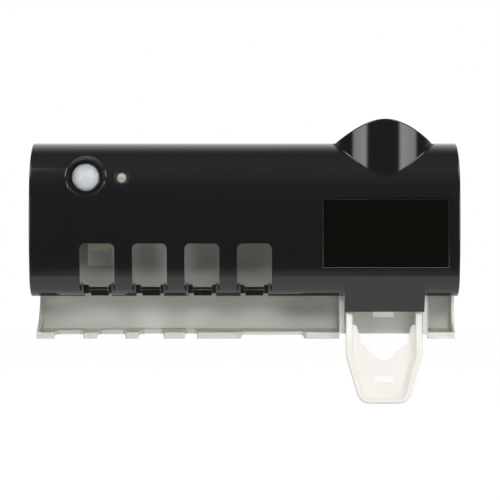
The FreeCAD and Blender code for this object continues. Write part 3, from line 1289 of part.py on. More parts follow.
def push_lever():
    """Paddle on two arms: a rim bar all round, a web set back in it, and a notch for the brush neck."""
    x = DISPENSER_X
    top = PIVOT_Z
    inner = LEVER_HALF - LEVER_BAR
    foot_z = top - LEVER_LENGTH
    front, rear = PIVOT_Y - LEVER_FRONT, PIVOT_Y + LEVER_REAR

    def paddle(inset, head_z):
        half = LEVER_HALF - inset
        foot_inset = inset * LEVER_FOOT_SHARE
        foot_half, foot_round = LEVER_FOOT_HALF - foot_inset, LEVER_FOOT_ROUND - foot_inset
        return [
            (x - half, head_z, 0), (x - half, top - LEVER_TAPER_START, LEVER_WAIST_ROUND),
            (x - foot_half, foot_z + foot_inset, foot_round),
            (x + foot_half, foot_z + foot_inset, foot_round),
            (x + half, top - LEVER_TAPER_START, LEVER_WAIST_ROUND), (x + half, head_z, 0),
        ]

    rim = plate_xz(paddle(0, top), front, rear).cut(
        plate_xz(paddle(LEVER_BAR, top + CUT_OVER), front - CUT_OVER, rear + CUT_OVER))
    web = plate_xz(paddle(LEVER_BAR / 2, top), rear - LEVER_WEB, rear)
    shoulder = top - NOTCH_SHOULDER
    ear_z = top - EAR_TOP
    notch = [
        (x - inner, top + CUT_OVER, 0), (x - inner, ear_z, 0), (x - EAR_TOP_HALF, ear_z, EAR_ROUND),
        (x - NOTCH_SHOULDER_HALF, shoulder, NOTCH_SHOULDER_ROUND),
        (x, top - NOTCH_BOTTOM, NOTCH_BOTTOM_ROUND),
        (x + NOTCH_SHOULDER_HALF, shoulder, NOTCH_SHOULDER_ROUND), (x + EAR_TOP_HALF, ear_z, EAR_ROUND),
        (x + inner, ear_z, 0), (x + inner, top + CUT_OVER, 0),
    ]
    web = web.cut(plate_xz(notch, front, rear + CUT_OVER))
    slot_z = foot_z + LEVER_SLOT_RISE
    slot = rounded_rectangle(x, slot_z, LEVER_SLOT_WIDTH, LEVER_SLOT_HEIGHT, LEVER_SLOT_ROUND)
    web = web.cut(plate_xz(slot, front, rear + CUT_OVER))
    eyes = [
        rod(LEVER_EYE_RADIUS, V(x0, PIVOT_Y, PIVOT_Z), V(x1, PIVOT_Y, PIVOT_Z))
        for x0, x1 in lug_pair(inner, LEVER_HALF)
    ]
    bar_z = top - CROSS_BAR_DROP
    half_bar = CROSS_BAR_HEIGHT / 2
    half_x = inner + LEVER_BAR / 4
    bar = box(x - half_x, x + half_x, rear - CROSS_BAR_THICKNESS, rear, bar_z - half_bar, bar_z + half_bar)
    front_edges = [e for e in rim.Edges if e.BoundBox.YMax < front + 1e-4]
    rim = rim.makeFillet(LEVER_EDGE_FILLET, front_edges)
    lever = join(rim, web, bar, *eyes)
    hole = rod(PIN_RADIUS + PIN_FIT, V(x - BAY_HALF, PIVOT_Y, PIVOT_Z), V(x + BAY_HALF, PIVOT_Y, PIVOT_Z))
    return lever_lean(lever.cut(hole))


PIECES = (
    front_cover, back_plate, brush_floor, solar_panel, pir_lens, pir_sensor, status_led, control_board,
    board_parts, board_screws, battery_cell, battery_holder, battery_contacts, holder_screws, uv_board,
    uv_lamps, uv_screws, cover_screws, floor_screws, squeezer_body, tube_seal, inlet_valve, outlet_valve,
    nozzle, pump_bellows, pump_ring, ring_screws, return_spring, plunger, lever_pins, push_lever,
)

for piece in PIECES:
    shape = piece()
    shape.exportStep("parts/" + piece.__name__ + ".step")
    print(piece.__name__, len(shape.Solids), round(shape.Volume), shape.isValid())
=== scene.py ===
import math

import bmesh
import bpy
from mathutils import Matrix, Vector


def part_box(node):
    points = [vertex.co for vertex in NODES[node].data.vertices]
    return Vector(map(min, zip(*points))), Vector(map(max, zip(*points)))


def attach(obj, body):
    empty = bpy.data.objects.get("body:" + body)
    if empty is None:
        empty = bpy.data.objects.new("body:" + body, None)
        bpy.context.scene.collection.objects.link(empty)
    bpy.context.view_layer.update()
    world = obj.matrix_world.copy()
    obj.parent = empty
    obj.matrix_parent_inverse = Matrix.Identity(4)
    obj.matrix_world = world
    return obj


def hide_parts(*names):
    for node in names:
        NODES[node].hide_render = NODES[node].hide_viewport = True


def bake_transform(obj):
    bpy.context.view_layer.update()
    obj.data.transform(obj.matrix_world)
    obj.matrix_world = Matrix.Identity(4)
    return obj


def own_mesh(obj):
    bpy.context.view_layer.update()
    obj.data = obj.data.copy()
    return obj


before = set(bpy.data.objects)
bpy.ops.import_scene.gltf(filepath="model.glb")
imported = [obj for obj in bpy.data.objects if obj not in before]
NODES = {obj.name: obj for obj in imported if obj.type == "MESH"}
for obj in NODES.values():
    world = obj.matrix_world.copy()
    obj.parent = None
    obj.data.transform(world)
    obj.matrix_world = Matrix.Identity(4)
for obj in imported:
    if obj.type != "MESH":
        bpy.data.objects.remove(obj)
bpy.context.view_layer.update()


# Back plate: light-grey ABS moulding with the tray, the bay walls and the hanger pockets.
# It hangs on the wall and carries everything else; satin, with the fine grain of a spark-eroded mould.
CLOUD_DETAIL = 3.0
GRAIN_DETAIL = 2.0


def add(tree, kind, **values):
    """Adds a node and sets its inputs, by name or as i0, i1...; a value may be another node's output."""
    made = tree.nodes.new(kind)
    for key, value in values.items():
        socket = made.inputs[int(key[1:])] if key[1:].isdigit() else made.inputs[key.replace("_", " ")]
        if isinstance(value, bpy.types.NodeSocket):
            tree.links.new(value, socket)
        else:
            socket.default_value = value
    return made


def maths(tree, operation, first, second):
    """One Math node's result."""
    made = add(tree, "ShaderNodeMath", i0=first, i1=second)
    made.operation = operation
    return made.outputs[0]


def blend_colours(tree, share, first, second):
    """The first colour turning into the second as share goes from 0 to 1."""
    made = add(tree, "ShaderNodeMix", i0=share, i6=first, i7=second)
    made.data_type = "RGBA"
    return made.outputs[2]


def paint(red, green, blue):
    """Linear colour from display values of 0 to 255."""
    shares = [c / 255 for c in (red, green, blue)]
    return tuple(s / 12.92 if s <= 0.04045 else ((s + 0.055) / 1.055) ** 2.4 for s in shares) + (1,)


def finish(name, deep, pale, cloud, gloss, grain, lift, **sockets):
    """A surface finish: two close colours in soft clouds, gloss that varies with them, and a fine grain.

    deep and pale are display values and gloss is a range of roughness. cloud and grain are the sizes of
    the patches and of the grain, and lift is the grain's height, in metres.
    """
    made = bpy.data.materials.new(name)
    made.use_nodes = True
    tree = made.node_tree
    shader = tree.nodes["Principled BSDF"]
    place = tree.nodes.new("ShaderNodeTexCoord").outputs["Object"]
    clouds = add(tree, "ShaderNodeTexNoise", Vector=place, Scale=1 / cloud, Detail=CLOUD_DETAIL).outputs[0]
    tree.links.new(blend_colours(tree, clouds, paint(*deep), paint(*pale)), shader.inputs["Base Color"])
    sheen = add(tree, "ShaderNodeMapRange", Value=clouds, To_Min=gloss[0], To_Max=gloss[1])
    tree.links.new(sheen.outputs[0], shader.inputs["Roughness"])
    fine = add(tree, "ShaderNodeTexNoise", Vector=place, Scale=1 / grain, Detail=GRAIN_DETAIL).outputs[0]
    bump = add(tree, "ShaderNodeBump", Height=fine, Distance=lift, Strength=1.0)
    tree.links.new(bump.outputs[0], shader.inputs["Normal"])
    for key, value in sockets.items():
        shader.inputs[key.replace("_", " ")].default_value = value
    return made


def dress(material, *names):
    """Puts a finish on CAD nodes as they stand."""
    for name in names:
        mesh = NODES[name].data
        mesh.materials.clear()
        mesh.materials.append(material)


dress(finish("plate_abs", deep=(184, 185, 177), pale=(187, 188, 180), cloud=0.0016, gloss=(0.26, 0.30),
             grain=0.0006, lift=4e-6), "back_plate")


# Screws: zinc-plated steel with pan heads, cross recesses and rolled threads.
# They hold the cover and the brush floor to the plate, and the boards, the cradle and the pump in place.
# Sizes are shares of the head's or the shank's radius, or of the head's height.
SCENE = bpy.context.scene
SCREW_SIDES = 22
CROWN_RINGS = 5
CROWN_CURVE = 3.0
CROWN_FALL = 0.42
RECESS_REACH = 1.15
RECESS_WIDTH = 0.34
RECESS_DEPTH = 0.65
RECESS_SHADE = 0.0012
RECESS_CONTRAST = 2.5
RECESS_SHADE_COLOUR = (40, 40, 41)
CORE_SHARE = 0.74
POINT_BASE = 0.96
POINT_END = 0.3
THREAD_PITCH = 0.8
THREAD_STEPS = 14
THREAD_CORNERS = 4
WELD = 1e-6
SMOOTH_ANGLE = math.radians(35)
SCREW_SIZES = ("Head Radius", "Head Height", "Shank Radius", "Shank Length")


def lift_by(tree, height):
    """A vector that points up by a height."""
    return add(tree, "ShaderNodeCombineXYZ", Z=height).outputs[0]


def moved(tree, shape, height):
    """A shape lifted by a height."""
    return add(tree, "GeometryNodeTransform", Geometry=shape, Translation=lift_by(tree, height)).outputs[0]


def screw_head(tree, radius, height):
    """A pan head on its seat: a disc with a domed top, cut by two crossed slots."""
    blank = tree.nodes.new("GeometryNodeMeshCylinder")
    blank.fill_type = "TRIANGLE_FAN"
    blank.inputs["Vertices"].default_value = SCREW_SIDES
    blank.inputs["Fill Segments"].default_value = CROWN_RINGS
    tree.links.new(radius, blank.inputs["Radius"])
    tree.links.new(height, blank.inputs["Depth"])
    spot = add(tree, "ShaderNodeSeparateXYZ", Vector=tree.nodes.new("GeometryNodeInputPosition").outputs[0])
    off = maths(tree, "SQRT", maths(tree, "ADD", maths(tree, "POWER", spot.outputs[0], 2.0),
                                    maths(tree, "POWER", spot.outputs[1], 2.0)), 0.0)
    fall = maths(tree, "POWER", maths(tree, "DIVIDE", off, radius), CROWN_CURVE)
    drop = maths(tree, "MULTIPLY", maths(tree, "MULTIPLY", fall, height), -CROWN_FALL)
    domed = add(tree, "GeometryNodeSetPosition", Geometry=blank.outputs["Mesh"],
                Selection=blank.outputs["Top"], Offset=lift_by(tree, drop)).outputs[0]
    seated = moved(tree, domed, maths(tree, "MULTIPLY", height, 0.5))
    reach = maths(tree, "MULTIPLY", radius, RECESS_REACH)
    width = maths(tree, "MULTIPLY", radius, RECESS_WIDTH)
    depth = maths(tree, "MULTIPLY", height, 2 * RECESS_DEPTH)
    for along, across in ((reach, width), (width, reach)):
        size = add(tree, "ShaderNodeCombineXYZ", X=along, Y=across, Z=depth).outputs[0]
        slot = add(tree, "GeometryNodeMeshCube", Size=size).outputs["Mesh"]
        cut = add(tree, "GeometryNodeMeshBoolean", i0=seated, i1=moved(tree, slot, height))
        cut.operation = "DIFFERENCE"
        cut.solver = "EXACT"
        seated = cut.outputs["Mesh"]
    return seated


def screw_shank(tree, radius, length):
    """A threaded shank below the seat: core, point and one rolled ridge along a helix."""
    core = maths(tree, "MULTIPLY", radius, CORE_SHARE)
    straight = maths(tree, "SUBTRACT", length, radius)
    rod = add(tree, "GeometryNodeMeshCylinder", Vertices=SCREW_SIDES, Radius=core, Depth=straight)
    tip = add(tree, "GeometryNodeMeshCone", Vertices=SCREW_SIDES, Depth=radius,
              Radius_Top=maths(tree, "MULTIPLY", core, POINT_BASE),
              Radius_Bottom=maths(tree, "MULTIPLY", core, POINT_END))
    pitch = maths(tree, "MULTIPLY", radius, THREAD_PITCH)
    helix = add(tree, "GeometryNodeCurveSpiral", Resolution=THREAD_STEPS, Start_Radius=core, End_Radius=core,
                Rotations=maths(tree, "DIVIDE", straight, pitch), Height=straight)
    tooth = add(tree, "GeometryNodeCurvePrimitiveCircle", Resolution=THREAD_CORNERS,
                Radius=maths(tree, "MULTIPLY", radius, 1 - CORE_SHARE))
    ridge = add(tree, "GeometryNodeCurveToMesh", Curve=helix.outputs[0], Profile_Curve=tooth.outputs[0],
                Fill_Caps=True)
    down = maths(tree, "MULTIPLY", straight, -1.0)
    return (moved(tree, rod.outputs["Mesh"], maths(tree, "MULTIPLY", straight, -0.5)),
            moved(tree, tip.outputs["Mesh"], maths(tree, "MULTIPLY", length, -1.0)),
            moved(tree, ridge.outputs["Mesh"], down))


def screw_tree():
    """Sets a screw on each point it is given, head towards one direction."""
    tree = bpy.data.node_groups.new("cross_screws", "GeometryNodeTree")
    tree.is_modifier = True
    tree.interface.new_socket("Seats", in_out="INPUT", socket_type="NodeSocketGeometry")
    for label in SCREW_SIZES:
        tree.interface.new_socket(label, in_out="INPUT", socket_type="NodeSocketFloat")
    tree.interface.new_socket("Head Direction", in_out="INPUT", socket_type="NodeSocketVector")
    tree.interface.new_socket("Finish", in_out="INPUT", socket_type="NodeSocketMaterial")
    tree.interface.new_socket("Screws", in_out="OUTPUT", socket_type="NodeSocketGeometry")
    given = tree.nodes.new("NodeGroupInput").outputs
    whole = tree.nodes.new("GeometryNodeJoinGeometry")
    shapes = [screw_head(tree, given["Head Radius"], given["Head Height"])]
    shapes.extend(screw_shank(tree, given["Shank Radius"], given["Shank Length"]))
    for shape in shapes:
        tree.links.new(shape, whole.inputs[0])
    turn = add(tree, "FunctionNodeAlignRotationToVector", Vector=given["Head Direction"])
    turn.axis = "Z"
    rows = add(tree, "GeometryNodeInstanceOnPoints", Points=given["Seats"], Instance=whole.outputs[0],
               Rotation=turn.outputs[0])
    real = add(tree, "GeometryNodeRealizeInstances", Geometry=rows.outputs[0])
    coated = add(tree, "GeometryNodeSetMaterial", Geometry=real.outputs[0], Material=given["Finish"])
    done = tree.nodes.new("NodeGroupOutput")
    tree.links.new(coated.outputs[0], done.inputs[0])
    return tree


def shade_recesses(material):
    """Paints shade into a finish inside narrow recesses, where little light gets in."""
    tree = material.node_tree
    colour = tree.nodes["Principled BSDF"].inputs["Base Color"]
    plating = colour.links[0].from_socket
    openness = add(tree, "ShaderNodeAmbientOcclusion", Distance=RECESS_SHADE).outputs["AO"]
    share = maths(tree, "POWER", openness, RECESS_CONTRAST)
    tree.links.new(blend_colours(tree, share, paint(*RECESS_SHADE_COLOUR), plating), colour)
    return material


def welded(node):
    """A welded copy of a CAD node's mesh."""
    made = bmesh.new()
    made.from_mesh(NODES[node].data)
    bmesh.ops.remove_doubles(made, verts=made.verts, dist=WELD)
    return made


def boxes(node):
    """The lowest and highest corner of each separate solid in a CAD node."""
    copy = welded(node)
    seen, found = set(), []
    for start in copy.verts:
        if start in seen:
            continue
        seen.add(start)
        solid = [start]
        for vert in solid:
            fresh = [e.other_vert(vert) for e in vert.link_edges if e.other_vert(vert) not in seen]
            seen.update(fresh)
            solid.extend(dict.fromkeys(fresh))
        found.append([Vector(pick(v.co[i] for v in solid) for i in range(3)) for pick in (min, max)])
    copy.free()
    return found


def piece(name, mesh, body, slot, *stands_for):
    """A finished mesh as a piece of the object that rides on a body and stands for CAD nodes."""
    made = bpy.data.objects.new(name, mesh)
    SCENE.collection.objects.link(made)
    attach(made, body)
    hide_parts(*stands_for)
    return made


def smoothed(mesh):
    """Smooth shading that keeps the real edges."""
    mesh.shade_smooth()
    mesh.set_sharp_from_angle(angle=SMOOTH_ANGLE)
    return mesh


SCREW_TREE = screw_tree()
SCREW_SOCKETS = {s.name: s.identifier for s in SCREW_TREE.interface.items_tree if s.in_out == "INPUT"}
screw_zinc = shade_recesses(finish("screw_zinc", deep=(178, 180, 182), pale=(206, 208, 210), cloud=0.002,
                                   gloss=(0.22, 0.36), grain=0.0003, lift=4e-6, Metallic=1.0))


def set_screws(node, body, toward, head_height, shank_radius):
    """Replaces a node of plain, like screws; seats and sizes come from its solids."""
    toward = Vector(toward)
    seats = []
    for low, high in boxes(node):
        half = (high - low) / 2
        along = abs(half.dot(toward))
        across = max(h for h, t in zip(half, toward) if t == 0)
        seats.append((low + high) / 2 + toward * (along - head_height))
    points = bpy.data.meshes.new(node)
    points.from_pydata(seats, [], [])
    seat_object = bpy.data.objects.new("seats", points)
    SCENE.collection.objects.link(seat_object)
    modifier = seat_object.modifiers.new("screws", "NODES")
    modifier.node_group = SCREW_TREE
    sizes = (across, head_height, shank_radius, 2 * along - head_height)
    for label, value in zip(SCREW_SIZES, sizes):
        modifier[SCREW_SOCKETS[label]] = value
    modifier[SCREW_SOCKETS["Head Direction"]] = toward
    modifier[SCREW_SOCKETS["Finish"]] = screw_zinc
    ready = seat_object.evaluated_get(bpy.context.evaluated_depsgraph_get())
    mesh = bpy.data.meshes.new_from_object(ready)
    bpy.data.objects.remove(seat_object)
    outward = bmesh.new()
    outward.from_mesh(mesh)
    bmesh.ops.recalc_face_normals(outward, faces=outward.faces)
    outward.to_mesh(mesh)
    outward.free()
    piece("cross_" + node, smoothed(mesh), body, "screw_steel", node)


for node, body, toward, head_height, shank_radius in (
    ("cover_screws", "housing", (0, 1, 0), 0.0014, 0.0014),
    ("floor_screws", "housing", (0, 1, 0), 0.0014, 0.0014),
    ("board_screws", "housing", (0, 1, 0), 0.0011, 0.0011),
    ("holder_screws", "housing", (0, -1, 0), 0.0011, 0.0011),
    ("uv_screws", "housing", (0, 0, -1), 0.0011, 0.0011),
    ("ring_screws", "cartridge", (0, -1, 0), 0.0011, 0.0011),
):
    set_screws(node, body, toward, head_height, shank_radius)


# Battery: one rechargeable cell in a black nylon cradle with nickel contacts.
# The cell is a steel can with a crimped groove, in a plain shrink film that laps over both ends.
# Its profile rows hold a share of the radius, millimetres from that end, and the finish of the next step.
MM = 0.001
CELL_SIDES = 64
BUTTON_RADIUS = 0.003
BUTTON_RISE = 0.001
FILM, STEEL, CARD = 0, 1, 2
CELL_FOOT = ((0, 0.2, STEEL), (0.8, 0.2, FILM), (0.81, 0, FILM), (0.95, 0, FILM), (0.99, 0.3, FILM),
             (1, 0.9, FILM))
CELL_SHOULDER = ((1, -4.0, FILM), (0.965, -3.4, FILM), (0.965, -2.8, FILM), (1, -2.2, FILM), (1, -0.8, FILM),
                 (0.99, -0.3, FILM), (0.95, 0, FILM), (0.78, 0, FILM), (0.77, -0.2, CARD))
CELL_BUTTON = ((1.1, -1.2, STEEL), (1, -1.0, STEEL), (1, -0.2, STEEL), (0.92, 0, STEEL), (0, 0, STEEL))


def turned(profile, coats, middle, axis, sides):
    """A closed body turned about a line through middle along axis (0 for X, 1 for Y).

    profile holds (radius, place along the axis) from one end to the other; coats the finish of each step.
    """
    made = bmesh.new()
    side = [i for i in range(3) if i != axis]
    rings = []
    for radius, along in profile:
        ring = []
        for step in range(sides if radius else 1):
            angle = 2 * math.pi * step / sides
            spot = Vector(middle)
            spot[axis] = along
            spot[side[0]] += radius * math.cos(angle)
            spot[side[1]] += radius * math.sin(angle)
            ring.append(made.verts.new(spot))
        rings.append(ring)
    for first, second, coat in zip(rings, rings[1:], coats):
        for step in range(sides):
            after = (step + 1) % sides
            corners = [first[step % len(first)], first[after % len(first)],
                       second[after % len(second)], second[step % len(second)]]
            made.faces.new(list(dict.fromkeys(corners))).material_index = coat
    bmesh.ops.recalc_face_normals(made, faces=made.faces)
    return made


def solid_mesh(name, shape, *materials):
    """A bmesh made into a smooth-shaded mesh with its finishes."""
    mesh = bpy.data.meshes.new(name)
    shape.to_mesh(mesh)
    shape.free()
    for material in materials:
        mesh.materials.append(material)
    return smoothed(mesh)


def wrapped_cell(low, high):
    """The cell between its box's corners, with its button at the high end."""
    radius = (high.z - low.z) / 2
    profile, coats = [], []
    for rows, full, end in ((CELL_FOOT, radius, low.x), (CELL_SHOULDER, radius, high.x - BUTTON_RISE),
                            (CELL_BUTTON, BUTTON_RADIUS, high.x)):
        for share, gap, coat in rows:
            profile.append((share * full, end + gap * MM))
            coats.append(coat)
    return turned(profile, coats, (low + high) / 2, 0, CELL_SIDES)


cell_film = finish("cell_film", deep=(34, 74, 120), pale=(40, 82, 130), cloud=0.01, gloss=(0.2, 0.3),
                   grain=0.002, lift=2e-5)
cell_steel = finish("cell_steel", deep=(186, 184, 178), pale=(206, 204, 198), cloud=0.003, gloss=(0.22, 0.34),
                    grain=0.0003, lift=3e-6, Metallic=1.0)
cell_card = finish("cell_card", deep=(214, 212, 204), pale=(224, 222, 214), cloud=0.002, gloss=(0.7, 0.8),
                   grain=0.0003, lift=1e-5)
piece("wrapped_cell", solid_mesh("wrapped_cell", wrapped_cell(*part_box("battery_cell")),
                                 cell_film, cell_steel, cell_card), "housing", "cell_wrap", "battery_cell")
dress(finish("cradle_nylon", deep=(22, 22, 23), pale=(30, 30, 31), cloud=0.01, gloss=(0.45, 0.55),
             grain=0.0005, lift=1e-5), "battery_holder")
dress(finish("contact_nickel", deep=(196, 192, 182), pale=(214, 210, 202), cloud=0.004, gloss=(0.22, 0.34),
             grain=0.0004, lift=3e-6, Metallic=1.0), "battery_contacts")

# Lamp strip: a white-masked board under the ceiling over the brush windows, with one lamp for each brush.
# Each lamp is a square white package filled with yellow gel.
dress(finish("strip_white", deep=(214, 216, 212), pale=(224, 226, 222), cloud=0.01, gloss=(0.35, 0.45),
             grain=0.0004, lift=5e-6), "uv_board")
dress(finish("lamp_gel", deep=(226, 196, 96), pale=(238, 210, 120), cloud=0.002, gloss=(0.12, 0.2),
             grain=0.0005, lift=4e-6), "uv_lamps")

# Brush floor: black ABS moulding behind the windows, whose notches carry the brush necks.
# Screwed to the plate from behind; satin, with a shine on its ribs.
dress(finish("floor_abs", deep=(22, 22, 22), pale=(28, 28, 27), cloud=0.02, gloss=(0.14, 0.2),
             grain=0.0006, lift=4e-6), "brush_floor")

# Motion sensor and indicator lamp: a milky polyethylene lens in front of a metal-cased sensor, and a clear
# epoxy lamp. Both sit on the control board, which is screwed to posts inside the cover.
# The lens is moulded as a honeycomb of small lenses; its flange, deep in the housing, is painted near black as
# painted shade.
LENS_SIDES = 120
LENS_RINGS = 40
LENS_WALL = 0.001
DOME_RADIUS = 0.0097
LENS_FLANGE_RADIUS = 0.0112
LENS_FLANGE_THICKNESS = 0.0005
LENSLET_PITCH = 0.0046
LENSLET_RISE = 0.00009
# The flange's near black is painted shade, not a material of the lens.
DOME, FLANGE_SHADE = 0, 1
# The lamp's rings of colour: a darker middle where the die shows through the epoxy, a lighter band, and a
# darker outer rim that is painted shade of the dome's edge.
LAMP_DIE_AND_RIM_SHADE_RINGS = ((0.0, (142, 142, 132)), (0.0009, (150, 150, 138)), (0.0018, (176, 177, 166)),
              (0.0032, (160, 161, 152)), (0.0040, (140, 141, 134)))


def lenslet(across, up):
    """How far a spot lies from the middle of its honeycomb cell, from 0 to 1 at the cell's corners."""
    row_height = LENSLET_PITCH * math.sqrt(3) / 2
    gaps = []
    for row in range(math.floor(up / row_height), math.floor(up / row_height) + 2):
        shift = LENSLET_PITCH / 2 * (row % 2)
        column = round((across - shift) / LENSLET_PITCH)
        gaps.append(math.hypot(across - shift - column * LENSLET_PITCH, up - row * row_height))
    return min(gaps) / (LENSLET_PITCH / math.sqrt(3))


def cap(rim, rise, tip):
    """Profile of a round cap from its tip to its rim."""
    ball = (rim * rim + rise * rise) / (2 * rise)
    reach = math.asin(rim / ball)
    turns = [reach * i / LENS_RINGS for i in range(LENS_RINGS + 1)]
    return [(ball * math.sin(a), tip + ball * (1 - math.cos(a))) for a in turns]


def sensor_lens(low, high):
    """The domed lens between its box's corners, tip towards -Y."""
    middle = (low + high) / 2
    ledge = high.y - LENS_FLANGE_THICKNESS
    height = ledge - low.y
    bore = DOME_RADIUS - LENS_WALL
    outer = cap(DOME_RADIUS, height, low.y)
    flange = [(LENS_FLANGE_RADIUS, ledge), (LENS_FLANGE_RADIUS, high.y), (bore, high.y)]
    inner = cap(bore, height - LENS_WALL, low.y + LENS_WALL)
    coats = [DOME] * LENS_RINGS + [FLANGE_SHADE] * len(flange) + [DOME] * len(inner)
    made = turned(outer + flange + inner[::-1], coats, middle, 1, LENS_SIDES)
    made.verts.ensure_lookup_table()
    for vert in made.verts[:1 + LENS_SIDES * (LENS_RINGS - 1)]:
        vert.co.y += LENSLET_RISE * lenslet(vert.co.x - middle.x, vert.co.z - middle.z) ** 2
    return made


def ringed(material, middle, rings):
    """Colours a finish in rings about a line along Y: (radius, colour) from the middle outwards."""
    tree = material.node_tree
    shader = tree.nodes["Principled BSDF"]
    place = tree.nodes.new("ShaderNodeTexCoord").outputs["Object"]
    flat = add(tree, "ShaderNodeVectorMath", i0=place, i1=(1, 0, 1))
    flat.operation = "MULTIPLY"
    gap = add(tree, "ShaderNodeVectorMath", i0=flat.outputs[0], i1=(middle.x, 0, middle.z))
    gap.operation = "DISTANCE"
    colour = paint(*rings[0][1])
    for (near, _), (far, next_colour) in zip(rings, rings[1:]):
        share = add(tree, "ShaderNodeMapRange", Value=gap.outputs["Value"], From_Min=near, From_Max=far)
        colour = blend_colours(tree, share.outputs[0], colour, paint(*next_colour))
    tree.links.new(colour, shader.inputs["Base Color"])
    return material


lens_poly = finish("lens_poly", deep=(200, 204, 209), pale=(206, 210, 215), cloud=0.004, gloss=(0.18, 0.24),
                   grain=0.0008, lift=4e-6, Subsurface_Weight=0.2, Subsurface_Radius=(0.002, 0.002, 0.002))
lens_flange_shade = finish("lens_flange_shade", deep=(15, 15, 16), pale=(20, 20, 21), cloud=0.002, gloss=(0.5, 0.65),
                      grain=0.0006, lift=1e-5)
piece("sensor_lens", solid_mesh("sensor_lens", sensor_lens(*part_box("pir_lens")), lens_poly, lens_flange_shade),
      "housing", "lens_white", "pir_lens")
dress(finish("can_steel", deep=(186, 184, 176), pale=(206, 204, 198), cloud=0.003, gloss=(0.2, 0.3),
             grain=0.0004, lift=3e-6, Metallic=1.0), "pir_sensor")
lamp_low, lamp_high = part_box("status_led")
lamp_epoxy = finish("lamp_epoxy", deep=(160, 160, 150), pale=(168, 168, 158), cloud=0.002, gloss=(0.08, 0.14),
                    grain=0.0008, lift=3e-6)
dress(ringed(lamp_epoxy, (lamp_low + lamp_high) / 2, LAMP_DIE_AND_RIM_SHADE_RINGS), "status_led")
dress(finish("board_mask", deep=(18, 74, 44), pale=(26, 92, 56), cloud=0.004, gloss=(0.28, 0.4),
             grain=0.0008, lift=1e-5), "control_board")
dress(finish("chip_epoxy", deep=(22, 22, 22), pale=(32, 32, 32), cloud=0.003, gloss=(0.45, 0.6),
             grain=0.0003, lift=6e-6), "board_parts")

# Front cover: black ABS from a polished mould, with the tube collar, the windows, the sensor's bezel and
# the skirt over the dispensing bay in one piece. Screwed to the plate from behind.
dress(finish("cover_gloss", deep=(17, 17, 18), pale=(20, 20, 21), cloud=0.05, gloss=(0.09, 0.13),
             grain=0.012, lift=4e-6), "front_cover")

# Solar panel: dark cells on a board under cast clear resin, glued in a recess of the cover.
# The resin's face drinks light; its rounded rim shines, and the rim's pale grey colour is a painted highlight.
# The cells are strips a shade apart.
CELL_STRIPS = 9
STRIP_LINE = 0.0005
STRIP_COLOUR = (11, 11, 8)
FACE_TILT = math.radians(4)
FACE, RIM = 0, 1


def strip_lines(material, start, width):
    """Draws the faint upright lines between the cells."""
    tree = material.node_tree
    shader = tree.nodes["Principled BSDF"]
    under = shader.inputs["Base Color"].links[0].from_socket
    place = add(tree, "ShaderNodeSeparateXYZ", Vector=tree.nodes.new("ShaderNodeTexCoord").outputs["Object"])
    along = maths(tree, "SUBTRACT", place.outputs["X"], start)
    edge = maths(tree, "PINGPONG", along, width / 2)
    line = maths(tree, "LESS_THAN", edge, STRIP_LINE / 2)
    tree.links.new(blend_colours(tree, line, under, paint(*STRIP_COLOUR)), shader.inputs["Base Color"])
    return material


panel_low, panel_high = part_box("solar_panel")
panel = welded("solar_panel")
front = max(panel.faces, key=lambda face: face.calc_area()).normal.copy()
front = front if front.y < 0 else -front
for face in panel.faces:
    face.material_index = FACE if face.normal.angle(front) < FACE_TILT else RIM
panel_face = finish("panel_face", deep=(7, 7, 4), pale=(9, 8, 5), cloud=0.02, gloss=(0.1, 0.14),
                    grain=0.004, lift=2e-6, Specular_IOR_Level=0.2)
# The rim's pale grey base colour is a painted highlight on top of its real gloss.
panel_rim_highlight = finish("panel_rim_highlight", deep=(66, 66, 62), pale=(72, 72, 68), cloud=0.01, gloss=(0.12, 0.18),
                   grain=0.001, lift=2e-6, Specular_IOR_Level=0.7)
strip_lines(panel_face, panel_low.x, (panel_high.x - panel_low.x) / CELL_STRIPS)
laminate = piece("solar_laminate", solid_mesh("solar_laminate", panel, panel_face, panel_rim_highlight),
                 "housing", "panel_black", "solar_panel")
laminate.modifiers.new("flat_face", "WEIGHTED_NORMAL").keep_sharp = True

# Squeezer cartridge: white polypropylene body, nozzle, ring and plunger, with a silicone tube seal and valves.
# It slides into runners of the plate from below, and carries the lever on two stainless pins.
dress(finish("body_pp", deep=(228, 229, 224), pale=(236, 236, 232), cloud=0.012, gloss=(0.3, 0.4),
             grain=0.0006, lift=8e-6, Subsurface_Weight=0.15, Subsurface_Radius=(0.003, 0.003, 0.003)),
      "squeezer_body", "nozzle", "pump_ring", "plunger")
silicone_soft = finish("silicone_soft", deep=(214, 212, 206), pale=(224, 222, 216), cloud=0.006,
                       gloss=(0.42, 0.55), grain=0.0005, lift=8e-6, Subsurface_Weight=0.3,
                       Subsurface_Radius=(0.003, 0.003, 0.003))
dress(silicone_soft, "tube_seal", "inlet_valve", "outlet_valve")
spring_wire = finish("spring_wire", deep=(176, 178, 180), pale=(200, 202, 204), cloud=0.002,
                     gloss=(0.18, 0.28), grain=0.0003, lift=3e-6, Metallic=1.0)
dress(spring_wire, "lever_pins")

# Pump bellows and return spring: a silicone hat whose flange is clamped under the ring, with a coil spring
# in it. The plunger pushes the hat in, its thin shoulder rolls after it, and the spring shortens.
# The profiles hold the radius and the height over the pump block, in millimetres.
BELLOWS_SIDES = 72
BELLOWS_FLANGE = ((6.35, 0.1), (6.45, 0.0), (9.8, 0.0), (10.0, 0.2), (10.0, 0.8), (9.8, 1.0), (6.6, 1.0),
                  (6.35, 0.9), (6.35, 0.1))
BELLOWS_HAT = ((0, 4.5), (5.2, 4.5), (5.65, 4.35), (5.8, 4.0), (5.8, 2.6), (5.8, 1.9), (5.9, 1.5), (6.12, 1.2),
               (6.25, 0.95), (6.3, 0.6), (6.3, 0.3), (6.2, 0.3), (6.18, 0.6), (6.15, 0.85), (5.7, 1.1),
               (5.2, 1.4), (4.9, 1.9), (4.8, 2.6), (4.8, 3.3), (4.6, 3.5), (0, 3.5))
bellows_low, bellows_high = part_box("pump_bellows")
pump_line = (bellows_low + bellows_high) / 2


